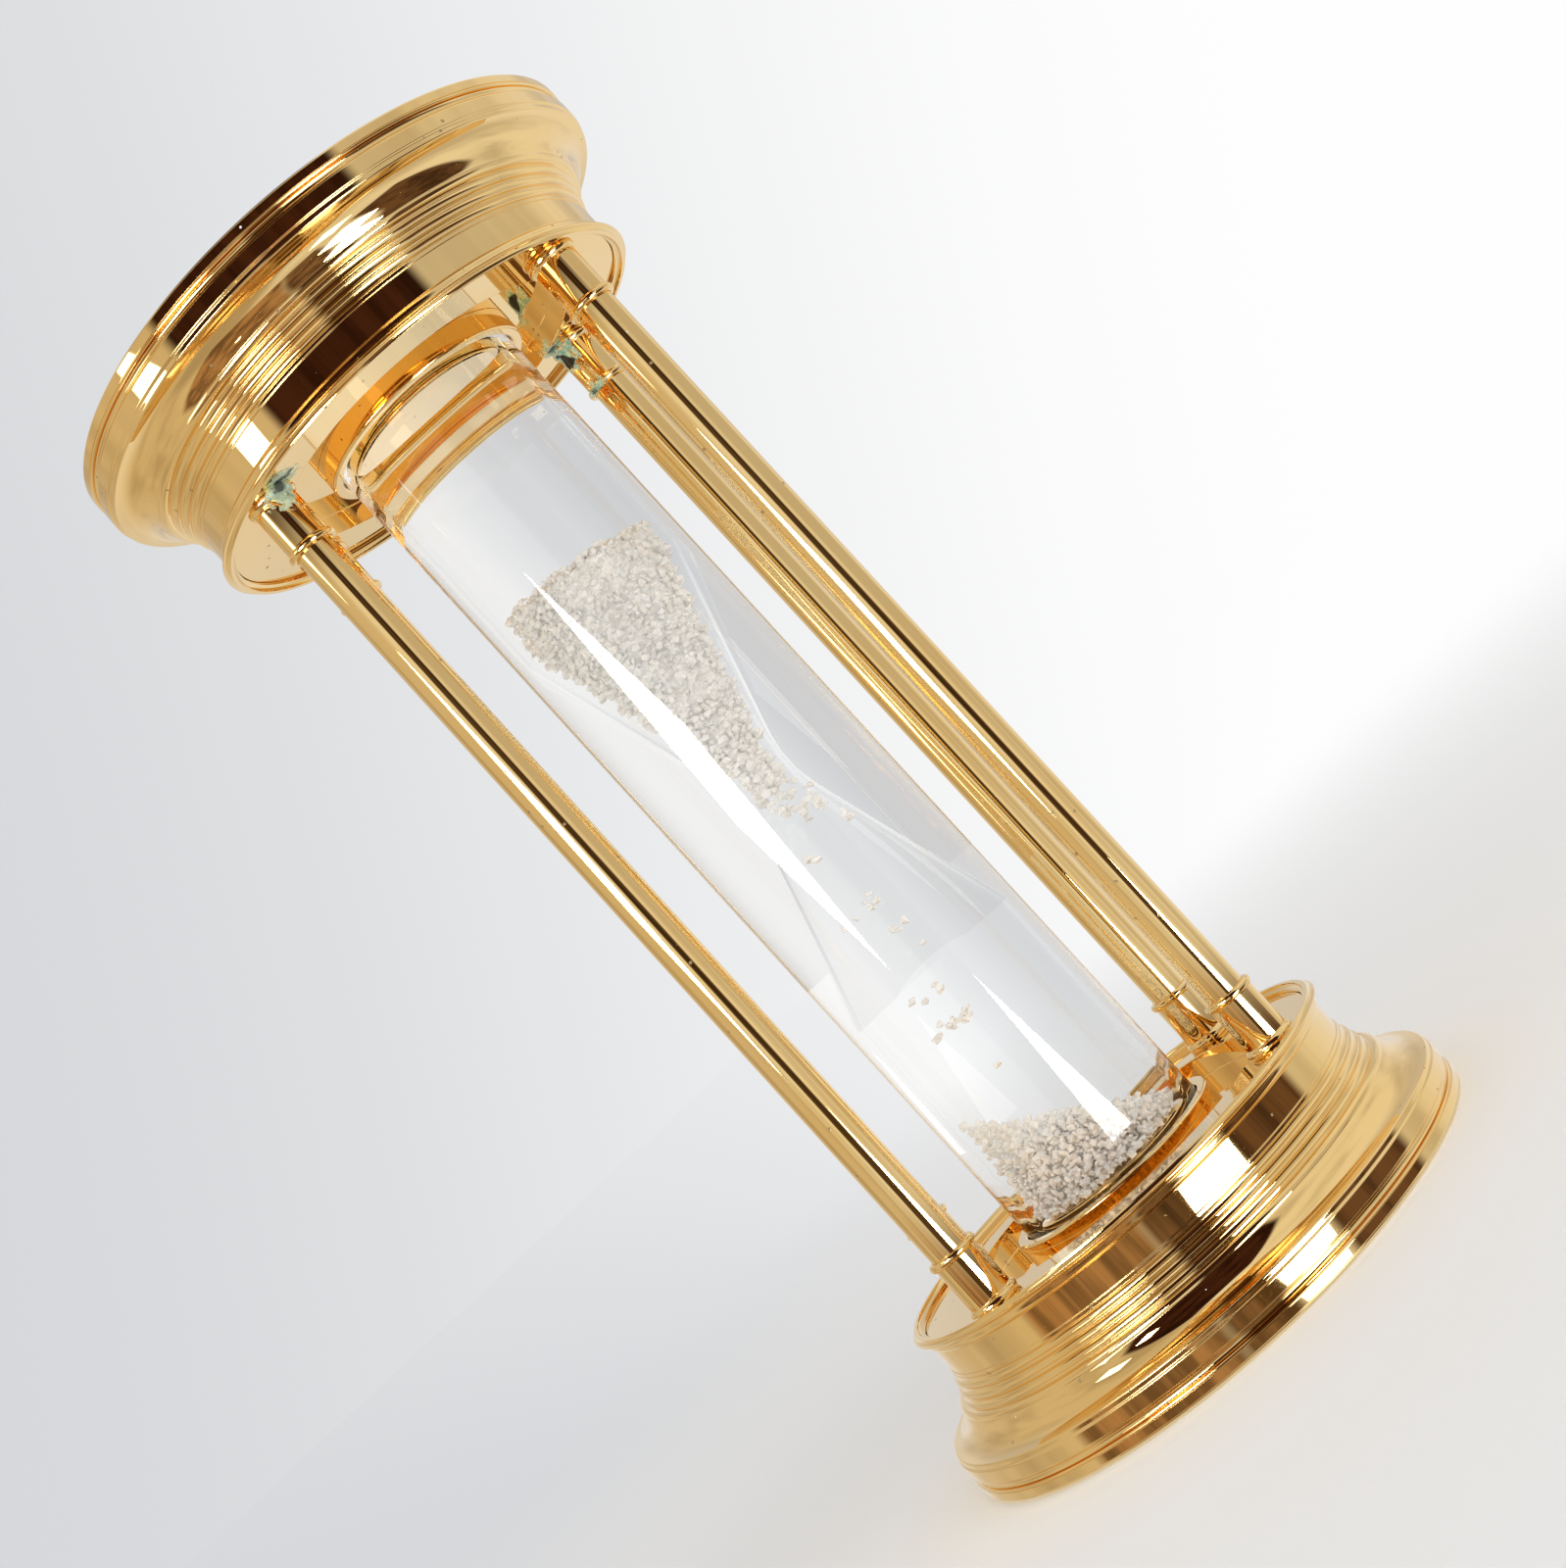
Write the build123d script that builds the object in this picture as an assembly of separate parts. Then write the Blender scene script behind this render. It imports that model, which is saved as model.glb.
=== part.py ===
"""Decorative hourglass: two turned brass caps, four pillars and a thick glass with clear crystals.

Frame: millimetres, +Z up along the hourglass axis, origin at the centre of the lower felt pad,
where the hourglass stands. +X runs along the wide side of the pillar rectangle.

Each cap is drawn once, as the lower one. Its turned outlines are (radius, depth) points, where
depth is measured from the widest plane of the lip outwards, so depth grows downwards. The upper
cap is the lower one mirrored in the middle plane.
"""
from build123d import *
from math import cos, radians, sin
import os

# Overall
cap_depth = 20.0          # lip plane to the outer face of the end plate
lip_gap = 134.0           # lip plane to lip plane
rim_radius = 41.0
lip_radius = 35.0
felt_proud = 0.3          # felt standing out of the end plate

# Cap shell, outside, from the lip outwards
lip_width = 1.9
lip_height = 1.5
lip_rise = 0.6            # crest of the lip above the lip plane
lip_round = 0.65
lip_undercut = 0.2
lip_cove_height = 0.35
lip_cove_bulge = 0.1
lip_overhang = 1.3        # lip over the neck
neck_start = 1.0          # from the lip's underside
neck_height = 3.7
reed_count = 3
reed_height = 1.05
reed_gap = 0.3
reed_bulge = 0.3
reed_step = 0.5           # growth in radius from one reed to the next
reed_lift = 0.25          # first reed over the neck
reed_shadow = 0.1         # fine step between the neck and the first reed
reed_quirk = 0.5          # height of that step
cove_height = 0.9
cove_bulge = 0.3
ovolo_lead = 1.05         # foot of the ovolo over the last reed
ovolo_quirk = 0.15        # small square step at each end of the ovolo
ovolo_bulge = 0.8
fillet_inset = 0.28       # fillet inside the rim band
fillet_height = 0.9
band_height = 1.85
groove_depth = 0.4
groove_width = 0.3
groove_slope = 0.1
rim_bead_height = 0.8
rim_bead_bulge = 0.2
joint_chamfer = 0.25
plate_thickness = 1.7     # rim of the end plate

# Cap shell, inside
web_depth = 5.0           # seat of the pillar plate, from the ledge
web_thickness = 2.0
pocket_step = 1.05        # ledge flange over the plate's body
cavity_step = 0.65        # pocket over the cavity
cavity_straight = 2.8
mouth_wall = 3.0
mouth_depth = 1.55
rim_wall = 4.2
boss_inset = 4.4          # boss circle inside the mouth
boss_radius = 2.6
boss_length = 5.8
boss_count = 4

# Pillar plate
ledge_depth = 0.4
ledge_flange = 1.2
ledge_margin = 1.15       # between the collars and the well
well_depth = 3.0
plate_clearance = 0.05

# Pillars
pillar_angle = 36.87      # degrees from +X, so the pillars stand on a 4 by 3 rectangle
rod_radius = 2.75
rod_clearance = 0.03
tenon_step = 0.55
tenon_length = 2.0
ferrule_height = 8.8
sleeve_wall = 0.32
collar_proud = 0.5
collar_bulge = 0.25
collar_height = 1.2
collar_cove = 0.15
collar_gap = 0.25         # between a collar and the lip
bead_proud = 0.45
bead_height = 1.0
bead_bulge = 0.3

# Glass and its seats
glass_radius = 14.7
glass_wall = 5.8
neck_bore = 2.9
cone_length = 32.5
neck_length = 9.0
neck_flare = 0.42
glass_edge = 0.3
seat_margin = 1.8
seat_face = 0.1           # depth of the seat's visible face
socket_depth = 2.5
socket_clearance = 0.15
seal_thickness = 0.5
hub_radius = 5.0
hub_clearance = 0.05
hub_short = 0.5           # hub ends this far inside the web, so that the washer clamps
seat_edge = 0.25

# Crystals
crystal_clearance = 0.1
charge_height = 6.0       # surface of the charge over the wide end of the upper cone
charge_slope = 8.0        # degrees
charge_foot = 2.6         # below the middle plane
heap_height = 9.8         # at the axis, over the lower seat
heap_slope = 42.0         # degrees, falling towards +X
stream_radius = 1.3

# Fasteners
m3_shank = 1.5
m3_head = 2.75
m3_head_height = 2.0
m3_hex = 1.25
m3_clearance = 0.2
thread_gap = 0.03
pillar_screw_grip = 5.5   # screw thread inside the rod
pillar_tap_spare = 1.5
pillar_washer_radius = 3.0
pillar_washer_thickness = 0.5
head_room = 0.3
seat_screw_length = 6.0
seat_tap_spare = 0.4
seat_washer_margin = 3.0
seat_washer_thickness = 1.0
m25_shank = 1.25
m25_head = 2.4
m25_head_height = 1.2
m25_slot_width = 0.6
m25_slot_depth = 0.5
plate_screw_length = 6.5
plate_tap_spare = 0.4

# End plate and felt
plate_edge = 0.3
felt_margin = 5.0         # brass rim round the felt
felt_recess = 0.9
felt_clearance = 0.1

# Radii that follow from the sizes above
lip_inner = lip_radius - lip_width
neck_radius = lip_radius - lip_overhang
reed_base = neck_radius + reed_lift
reed_last = reed_base + reed_step * reed_count
ovolo_foot_radius = reed_last + ovolo_lead
fillet_radius = rim_radius - fillet_inset
pocket_radius = lip_inner - pocket_step
cavity_radius = pocket_radius - cavity_step
mouth_radius = rim_radius - mouth_wall
boss_circle = mouth_radius - boss_inset
felt_radius = rim_radius - felt_margin
sleeve_radius = rod_radius + rod_clearance + sleeve_wall
collar_radius = sleeve_radius + collar_proud
bead_radius = sleeve_radius + bead_proud
tenon_radius = rod_radius - tenon_step
pillar_circle = lip_inner - collar_radius - collar_gap
well_radius = pillar_circle - collar_radius - ledge_margin
chamber_radius = glass_radius - glass_wall
seat_radius = glass_radius + seat_margin

# Depths in a cap, from the lip plane
lip_under = lip_height - lip_rise
neck_top = lip_under + neck_start
neck_end = neck_top + neck_height
reed_start = neck_end + reed_quirk
reed_end = reed_start + (reed_height + reed_gap) * reed_count
ovolo_start = reed_end + cove_height + ovolo_quirk
joint_depth = cap_depth - plate_thickness
band_end = joint_depth - joint_chamfer - rim_bead_height - groove_width
band_start = band_end - band_height
ovolo_end = band_start - fillet_height
web_top = ledge_depth + web_depth
web_back = web_top + web_thickness
end_face = seat_face + socket_depth - seal_thickness

lip_plane = felt_proud + cap_depth
middle = lip_plane + lip_gap / 2
quarter_sagitta = 1 - cos(radians(45))   # rise of a quarter arc of radius 1 over its chord
pillar_x = pillar_circle * cos(radians(pillar_angle))
pillar_y = pillar_circle * sin(radians(pillar_angle))
pillar_places = {
    "front_left": (-pillar_x, -pillar_y),
    "front_right": (pillar_x, -pillar_y),
    "back_right": (pillar_x, pillar_y),
    "back_left": (-pillar_x, pillar_y),
}


def level(depth):
    """Height above the ground of a depth in the lower cap."""
    return lip_plane - depth


def outline(points):
    """Closed face in the XZ plane from (radius, z) points; a third number bulges the next side."""
    sides = []
    for start, end in zip(points, points[1:] + points[:1]):
        if len(start) == 3:
            sides.append(SagittaArc(start[:2], end[:2], start[2]))
        else:
            sides.append(Line(start[:2], end[:2]))
    return Plane.XZ * make_face(Curve() + sides)


def turned(points):
    """Solid of revolution about the hourglass axis from points given as (radius, depth)."""
    sides = [(p[0], level(p[1]), *p[2:]) for p in points]
    return revolve(outline(sides), Axis.Z)


def rod(x, y, low, high, radius):
    """Upright cylinder between two heights."""
    return Pos(x, y, low) * Cylinder(radius, high - low, align=(Align.CENTER, Align.CENTER, Align.MIN))


def rod_between(x, y, depth_a, depth_b, radius):
    """Upright cylinder between two depths of the lower cap."""
    low, high = sorted((level(depth_a), level(depth_b)))
    return rod(x, y, low, high, radius)


def around(count, radius, start=0.0):
    """Places evenly round the axis."""
    angles = [radians(start + 360.0 * i / count) for i in range(count)]
    return [(radius * cos(a), radius * sin(a)) for a in angles]


def lip_points():
    """Rounded lip, from its inner wall over the crest to the cove under it."""
    crest = -lip_rise
    arc = lip_round * quarter_sagitta
    cove = lip_radius - lip_round - lip_undercut
    return [
        (lip_inner, crest + lip_round, arc),
        (lip_inner + lip_round, crest),
        (lip_radius - lip_round, crest, arc),
        (lip_radius, crest + lip_round),
        (lip_radius, lip_under - lip_round, arc),
        (lip_radius - lip_round, lip_under),
        (cove, lip_under),
        (cove, lip_under + lip_cove_height, -lip_cove_bulge),
        (neck_radius, neck_top),
    ]


def reed_points():
    """Three reeds, each a little wider than the one before."""
    step = reed_base - reed_shadow
    points = [(neck_radius, neck_end), (step, neck_end), (step, reed_start)]
    for i in range(reed_count):
        radius = reed_base + reed_step * i
        depth = reed_start + (reed_height + reed_gap) * i
        points += [
            (radius, depth, reed_bulge),
            (radius + reed_step / 2, depth + reed_height),
            (radius + reed_step / 2, depth + reed_height + reed_gap),
        ]
    return points


def ovolo_points():
    """Cove, big convex ovolo and the small fillet before the rim band."""
    return [
        (reed_last, reed_end, -cove_bulge),
        (ovolo_foot_radius - ovolo_quirk, reed_end + cove_height),
        (ovolo_foot_radius, ovolo_start, ovolo_bulge),
        (fillet_radius - ovolo_quirk, ovolo_end),
        (fillet_radius, ovolo_end + ovolo_quirk),
        (fillet_radius, band_start - ovolo_quirk),
    ]


def rim_points():
    """Rim band, narrow groove, thin bead and the chamfered joint with the end plate."""
    floor = rim_radius - groove_depth
    return [
        (rim_radius, band_start),
        (rim_radius, band_end),
        (floor, band_end + groove_slope),
        (floor, band_end + groove_width, rim_bead_bulge),
        (floor, joint_depth - joint_chamfer),
        (floor - joint_chamfer, joint_depth),
    ]


def cap_shell():
    """Turned shell: a pocket for the pillar plate on one side, a cavity on the other."""
    cavity_wide = rim_radius - rim_wall
    cavity_end = web_back + cavity_straight
    mouth_floor = joint_depth - mouth_depth
    tap_end = cap_depth - felt_recess - plate_screw_length - plate_tap_spare
    shell = turned(
        lip_points() + reed_points() + ovolo_points() + rim_points()
        + [
            (mouth_radius, joint_depth),
            (mouth_radius, mouth_floor),
            (cavity_wide, mouth_floor),
            (cavity_wide, band_start),
            (cavity_radius, cavity_end),
            (cavity_radius, web_back),
            (hub_radius + hub_clearance, web_back),
            (hub_radius + hub_clearance, web_top),
            (pocket_radius, web_top),
            (pocket_radius, ledge_depth + ledge_flange),
            (lip_inner, ledge_depth + ledge_flange),
        ]
    )
    for x, y in around(boss_count, boss_circle):
        shell += rod_between(x, y, mouth_floor, mouth_floor - boss_length, boss_radius)
    for x, y in around(boss_count, boss_circle):
        shell -= rod_between(x, y, mouth_floor, tap_end, m25_shank + thread_gap)
    for x, y in pillar_places.values():
        shell -= rod_between(x, y, web_top, web_back, m3_shank + m3_clearance)
        shell -= rod_between(x, y, web_back, cavity_end, pillar_washer_radius + head_room)
    return shell


def end_plate():
    """Rim plate that closes the cap, with a spigot inside the shell and a recess for the felt."""
    spigot = mouth_radius - plate_clearance
    plate = turned([
        (0, joint_depth - mouth_depth + plate_clearance),
        (spigot, joint_depth - mouth_depth + plate_clearance),
        (spigot, joint_depth),
        (rim_radius - plate_edge, joint_depth),
        (rim_radius, joint_depth + plate_edge),
        (rim_radius, cap_depth - plate_edge),
        (rim_radius - plate_edge, cap_depth),
        (felt_radius, cap_depth),
        (felt_radius, cap_depth - felt_recess),
        (0, cap_depth - felt_recess),
    ])
    for place in around(boss_count, boss_circle):
        plate -= plate_screw(place, gap=thread_gap)
    return plate


def plate_screw(place, gap=0.0):
    """Countersunk slotted screw, or its clearance hole when a gap is given."""
    top = cap_depth - felt_recess
    neck = top - m25_head_height
    tip = top - plate_screw_length
    body = turned([
        (0, top),
        (m25_head + gap, top),
        (m25_shank + gap, neck),
        (m25_shank + gap, tip),
        (0, tip),
    ])
    if gap == 0.0:
        slot_length = 3 * m25_head
        slot = Box(slot_length, m25_slot_width, 2 * m25_slot_depth)
        body -= Pos(0, 0, level(top)) * slot
    return Pos(*place, 0) * body


def felt_pad():
    """Felt disc, proud of the end plate."""
    return rod_between(0, 0, cap_depth - felt_recess, cap_depth + felt_proud, felt_radius - felt_clearance)


def pillar_plate():
    """Plate with the ledge that carries the pillars and the polished well round the glass seat."""
    flange = lip_inner - plate_clearance
    body = pocket_radius - plate_clearance
    plate = turned([
        (hub_radius + hub_clearance, web_top),
        (body, web_top),
        (body, ledge_depth + ledge_flange),
        (flange, ledge_depth + ledge_flange),
        (flange, ledge_depth),
        (well_radius, ledge_depth),
        (well_radius, ledge_depth + well_depth),
        (hub_radius + hub_clearance, ledge_depth + well_depth),
    ])
    for x, y in pillar_places.values():
        plate -= rod_between(x, y, ledge_depth, web_top, m3_shank + m3_clearance)
        hole = tenon_radius + rod_clearance
        plate -= rod_between(x, y, ledge_depth, ledge_depth + tenon_length + rod_clearance, hole)
    return plate


def glass_seat():
    """Flanged seat: a ring socket for the glass, a boss that closes the bore and a hub behind."""
    floor = ledge_depth + well_depth
    socket_floor = seat_face + socket_depth
    boss = chamber_radius - socket_clearance
    socket = glass_radius + socket_clearance
    seat = turned([
        (0, seat_face),
        (boss - seat_edge, seat_face),
        (boss, seat_face + seat_edge),
        (boss, socket_floor),
        (socket, socket_floor),
        (socket, seat_face + seat_edge),
        (socket + seat_edge, seat_face),
        (seat_radius - seat_edge, seat_face),
        (seat_radius, seat_face + seat_edge),
        (seat_radius, floor),
        (hub_radius, floor),
        (hub_radius, web_back - hub_short),
        (0, web_back - hub_short),
    ])
    tap_top = web_back + seat_washer_thickness - seat_screw_length - seat_tap_spare
    return seat - rod_between(0, 0, web_back - hub_short, tap_top, m3_shank + thread_gap)


def seal_ring():
    """Soft ring under the glass end."""
    top = end_face
    return turned([
        (chamber_radius, top),
        (glass_radius - glass_edge, top),
        (glass_radius - glass_edge, top + seal_thickness),
        (chamber_radius, top + seal_thickness),
    ])


def socket_screw(x, y, bearing, length):
    """Socket-head screw whose head bears at a depth and whose shank runs towards the glass."""
    head = rod_between(x, y, bearing, bearing + m3_head_height, m3_head)
    shank = rod_between(x, y, bearing, bearing - length, m3_shank)
    hexagon = extrude(RegularPolygon(m3_hex, 6), m3_head_height / 2)
    return head + shank - Pos(x, y, level(bearing + m3_head_height)) * hexagon


def washer(x, y, outer, thickness):
    """Flat washer against the back of the web."""
    disc = rod_between(x, y, web_back, web_back + thickness, outer)
    return disc - rod_between(x, y, web_back, web_back + thickness, m3_shank + m3_clearance)


def ferrule(x, y):
    """Base collar, sleeve and bead that dress one end of a pillar."""
    foot = level(ledge_depth)
    collar_top = foot + collar_height
    bead_top = foot + ferrule_height
    bore = rod_radius + rod_clearance
    profile = outline([
        (bore, foot),
        (collar_radius - collar_bulge, foot, -collar_bulge),
        (collar_radius - collar_bulge, collar_top),
        (sleeve_radius, collar_top + collar_cove),
        (sleeve_radius, bead_top - bead_height),
        (bead_radius - bead_bulge, bead_top - bead_height, -bead_bulge),
        (bead_radius - bead_bulge, bead_top),
        (bore, bead_top),
    ])
    return Pos(x, y, 0) * revolve(profile, Axis.Z)


def pillar(x, y):
    """Rod with a tenon and a tapped hole at each end."""
    low = level(ledge_depth)
    high = 2 * middle - low
    body = rod(x, y, low, high, rod_radius)
    body += rod(x, y, low - tenon_length, high + tenon_length, tenon_radius)
    tap_end = low + pillar_screw_grip + pillar_tap_spare
    tap = rod(x, y, low - tenon_length, tap_end, m3_shank + thread_gap)
    return body - tap - mirrored(tap)


def chamber(gap, low, high):
    """Solid that fills the double-cone chamber between two heights."""
    half_neck = neck_length / 2
    narrow = neck_bore + neck_flare - gap
    wide = chamber_radius - gap
    far = lip_gap
    whole = revolve(outline([
        (0, middle - far),
        (wide, middle - far),
        (wide, middle - cone_length),
        (narrow, middle - half_neck, neck_flare),
        (narrow, middle + half_neck),
        (wide, middle + cone_length),
        (wide, middle + far),
        (0, middle + far),
    ]), Axis.Z)
    return whole & rod(0, 0, low, high, 2 * wide)


def glass_body():
    """Thick straight glass with the double-cone chamber open at both ends."""
    low = level(end_face)
    high = 2 * middle - low
    block = chamfer(rod(0, 0, low, high, glass_radius).edges(), glass_edge)
    return block - chamber(0.0, low, high)


def tilted_half(height, slope):
    """Big block whose top face passes the axis at a height and falls towards +X."""
    size = 8 * chamber_radius
    block = Box(size, size, size, align=(Align.CENTER, Align.CENTER, Align.MAX))
    return Pos(0, 0, height) * Rot(0, slope, 0) * block


def upper_crystals():
    """Charge that fills the upper cone and the neck."""
    top = middle + cone_length + charge_height
    body = chamber(crystal_clearance, middle - charge_foot, top + chamber_radius)
    return body & tilted_half(top, charge_slope)


def lower_crystals():
    """Heap on the lower seat, higher on the -X side."""
    foot = level(seat_face)
    body = chamber(crystal_clearance, foot, foot + heap_height + chamber_radius)
    return body & tilted_half(foot + heap_height, heap_slope)


def crystal_stream():
    """Slim column of falling crystals between the neck and the heap."""
    foot = level(seat_face)
    column = rod(0, 0, foot, middle - charge_foot, stream_radius)
    return column - tilted_half(foot + heap_height, heap_slope)


def mirrored(shape):
    """The same piece in the other cap."""
    return mirror(shape, Plane.XY.offset(middle))


def solids_of(shapes):
    """One compound of separate solids."""
    return Compound(children=[shape.solid() for shape in shapes])


def cap_pieces():
    """Every piece of the lower cap, by its plain name."""
    bearing = web_back + pillar_washer_thickness
    seat_bearing = web_back + seat_washer_thickness
    pillar_screw = bearing - ledge_depth + pillar_screw_grip
    places = list(pillar_places.values())
    pieces = {
        "cap_shell": cap_shell(),
        "end_plate": end_plate(),
        "end_plate_screws": solids_of([plate_screw(p) for p in around(boss_count, boss_circle)]),
        "felt_pad": felt_pad(),
        "pillar_plate": pillar_plate(),
        "glass_seat": glass_seat(),
        "seal_ring": seal_ring(),
        "seat_screw": socket_screw(0, 0, seat_bearing, seat_screw_length),
        "seat_washer": washer(0, 0, hub_radius + seat_washer_margin, seat_washer_thickness),
        "pillar_screws": solids_of([socket_screw(x, y, bearing, pillar_screw) for x, y in places]),
        "pillar_washers": solids_of(
            [washer(x, y, pillar_washer_radius, pillar_washer_thickness) for x, y in places]
        ),
    }
    for name, (x, y) in pillar_places.items():
        pieces[f"ferrule_{name}"] = ferrule(x, y)
    return pieces


def all_pieces():
    """Every node of the hourglass."""
    pieces = {}
    for name, shape in cap_pieces().items():
        pieces[f"lower_{name}"] = shape
        pieces[f"upper_{name}"] = mirrored(shape)
    for name, (x, y) in pillar_places.items():
        pieces[f"pillar_{name}"] = pillar(x, y)
    pieces["glass_body"] = glass_body()
    pieces["upper_crystals"] = upper_crystals()
    pieces["crystal_stream"] = crystal_stream()
    pieces["lower_crystals"] = lower_crystals()
    return pieces


os.makedirs("parts", exist_ok=True)
for node, piece in all_pieces().items():
    export_step(piece, f"parts/{node}.step")
    print(node, round(piece.volume, 2))
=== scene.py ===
import math
import random

import bmesh
import bpy
from mathutils import Matrix, Vector


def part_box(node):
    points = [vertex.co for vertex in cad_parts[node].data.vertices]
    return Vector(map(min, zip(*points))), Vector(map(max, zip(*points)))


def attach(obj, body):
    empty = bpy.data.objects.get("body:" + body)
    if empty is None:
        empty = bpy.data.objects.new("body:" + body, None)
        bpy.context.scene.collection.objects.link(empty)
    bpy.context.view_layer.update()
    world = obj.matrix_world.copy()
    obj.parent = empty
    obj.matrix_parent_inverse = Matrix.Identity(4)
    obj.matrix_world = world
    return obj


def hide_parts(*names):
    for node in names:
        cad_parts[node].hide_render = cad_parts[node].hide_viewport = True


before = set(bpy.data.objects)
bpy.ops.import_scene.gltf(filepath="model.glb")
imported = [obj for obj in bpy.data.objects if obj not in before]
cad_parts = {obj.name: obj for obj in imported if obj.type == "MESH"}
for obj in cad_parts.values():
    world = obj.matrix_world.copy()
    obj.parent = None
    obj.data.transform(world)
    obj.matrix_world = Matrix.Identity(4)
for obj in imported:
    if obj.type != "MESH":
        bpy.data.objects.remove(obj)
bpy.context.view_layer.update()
mm = 0.001
ends = ("lower", "upper")
corners = ("front_left", "front_right", "back_right", "back_left")
scene = bpy.context.scene
scene.view_settings.view_transform = "Standard"
scene.cycles.max_bounces = 28
scene.cycles.transmission_bounces = 28
scene.cycles.glossy_bounces = 6
scene.cycles.diffuse_bounces = 12
scene.cycles.blur_glossy = 0.0
scene.cycles.sample_clamp_indirect = 2.5
print("frame loaded:", len(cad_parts), "pieces of the hourglass")


def newObject(name, data):
    item = bpy.data.objects.new(name, data)
    scene.collection.objects.link(item)
    return item


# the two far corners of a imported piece, in mm
def edges(node):
    low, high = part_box(node)
    return low / mm, high / mm


shellHigh = edges("lower_cap_shell")[1]
plateLow, plateHigh = edges("lower_pillar_plate")
endLow = edges("lower_end_plate")[0]
glassLow, glassHigh = edges("glass_body")
middle = (glassLow.z + glassHigh.z) / 2
rimRadius = shellHigh.x
ledge = plateHigh.z
lipRise = 0.6  # the rounded lip stands this much over its plane
lipPlane = shellHigh.z - lipRise
easedBulge = 0.29  # an eased edge bulges by this share of its width


def pillarPlace(corner):
    low, high = edges("pillar_" + corner)
    return (low.x + high.x) / 2, (low.y + high.y) / 2


def setSocket(item, name, value):
    item.inputs[name].default_value = value


def join(tree, source, target):
    tree.links.new(source, target)


def feed(tree, value, target):  # a link for another node's output, otherwise a plain value
    if hasattr(value, "is_output"):
        join(tree, value, target)
    else:
        target.default_value = value


# a node group with named sockets; each input is (name, socket, start value)
def newGroup(kind, name, inputs, outputs):
    tree = bpy.data.node_groups.new(name, kind)
    for label, socket, start in inputs:
        item = tree.interface.new_socket(label, in_out="INPUT", socket_type="NodeSocket" + socket)
        if start is not None:
            item.default_value = start
    for label, socket in outputs:
        tree.interface.new_socket(label, in_out="OUTPUT", socket_type="NodeSocket" + socket)
    return tree, tree.nodes.new("NodeGroupInput").outputs, tree.nodes.new("NodeGroupOutput").inputs


def mathNode(tree, operation, first, second=None, third=None, clamp=False):
    node = tree.nodes.new("ShaderNodeMath")
    node.operation, node.use_clamp = operation, clamp
    for slotIndex, value in enumerate((first, second, third)):
        if value is not None:
            feed(tree, value, node.inputs[slotIndex])
    return node.outputs[0]


def vectorNode(tree, operation, first, second=None, scale=None):
    node = tree.nodes.new("ShaderNodeVectorMath")
    node.operation = operation
    for slotIndex, value in enumerate((first, second)):
        if value is not None:
            feed(tree, value, node.inputs[slotIndex])
    if scale is not None:
        feed(tree, scale, node.inputs["Scale"])
    return node.outputs["Value" if operation in ("LENGTH", "DOT_PRODUCT", "DISTANCE") else "Vector"]


def rampNode(tree, value, low, high, toLow=0.0, toHigh=1.0):
    node = tree.nodes.new("ShaderNodeMapRange")
    node.interpolation_type = "SMOOTHSTEP"
    join(tree, value, node.inputs["Value"])
    for label, number in (("From Min", low), ("From Max", high), ("To Min", toLow), ("To Max", toHigh)):
        feed(tree, number, node.inputs[label])
    return node.outputs["Result"]


def mixColour(tree, amount, first, second, blend="MIX"):
    node = tree.nodes.new("ShaderNodeMix")
    node.data_type, node.blend_type = "RGBA", blend
    feed(tree, amount, node.inputs[0])
    for slotIndex, value in ((6, first), (7, second)):
        feed(tree, value if hasattr(value, "is_output") else (*value, 1.0), node.inputs[slotIndex])
    return node.outputs[2]


def noiseNode(tree, vector, scale, detail=3.0, roughness=0.5):
    node = tree.nodes.new("ShaderNodeTexNoise")
    join(tree, vector, node.inputs["Vector"])
    feed(tree, scale, node.inputs["Scale"])
    setSocket(node, "Detail", detail)
    setSocket(node, "Roughness", roughness)
    return node.outputs["Fac"]


# cells of random size: the distance from each cell's middle, and three random numbers a cell
def cellNode(tree, vector, scale):
    cells = tree.nodes.new("ShaderNodeTexVoronoi")
    join(tree, vector, cells.inputs["Vector"])
    feed(tree, scale, cells.inputs["Scale"])
    own = tree.nodes.new("ShaderNodeSeparateColor")
    join(tree, cells.outputs["Color"], own.inputs[0])
    return cells.outputs["Distance"], own.outputs


def bumpNode(tree, height, shader, strength, distance):
    bump = tree.nodes.new("ShaderNodeBump")
    setSocket(bump, "Strength", strength)
    setSocket(bump, "Distance", distance)
    join(tree, height, bump.inputs["Height"])
    join(tree, bump.outputs[0], shader.inputs["Normal"])


# camera: low, close and rolled, so that the hourglass lies across the frame
viewpoint = {
    "distance": 285.8,       # mm from the hourglass axis
    "azimuth": -4.35,        # degrees from -Y
    "belowMiddle": 18.1,
    "yaw": 0.275,
    "pitch": 2.555,
    "roll": -42.39,
    "lens": 49.47,
    "sensor": 36.0,
    "shift": (-0.0119, 0.0143),
}


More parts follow.
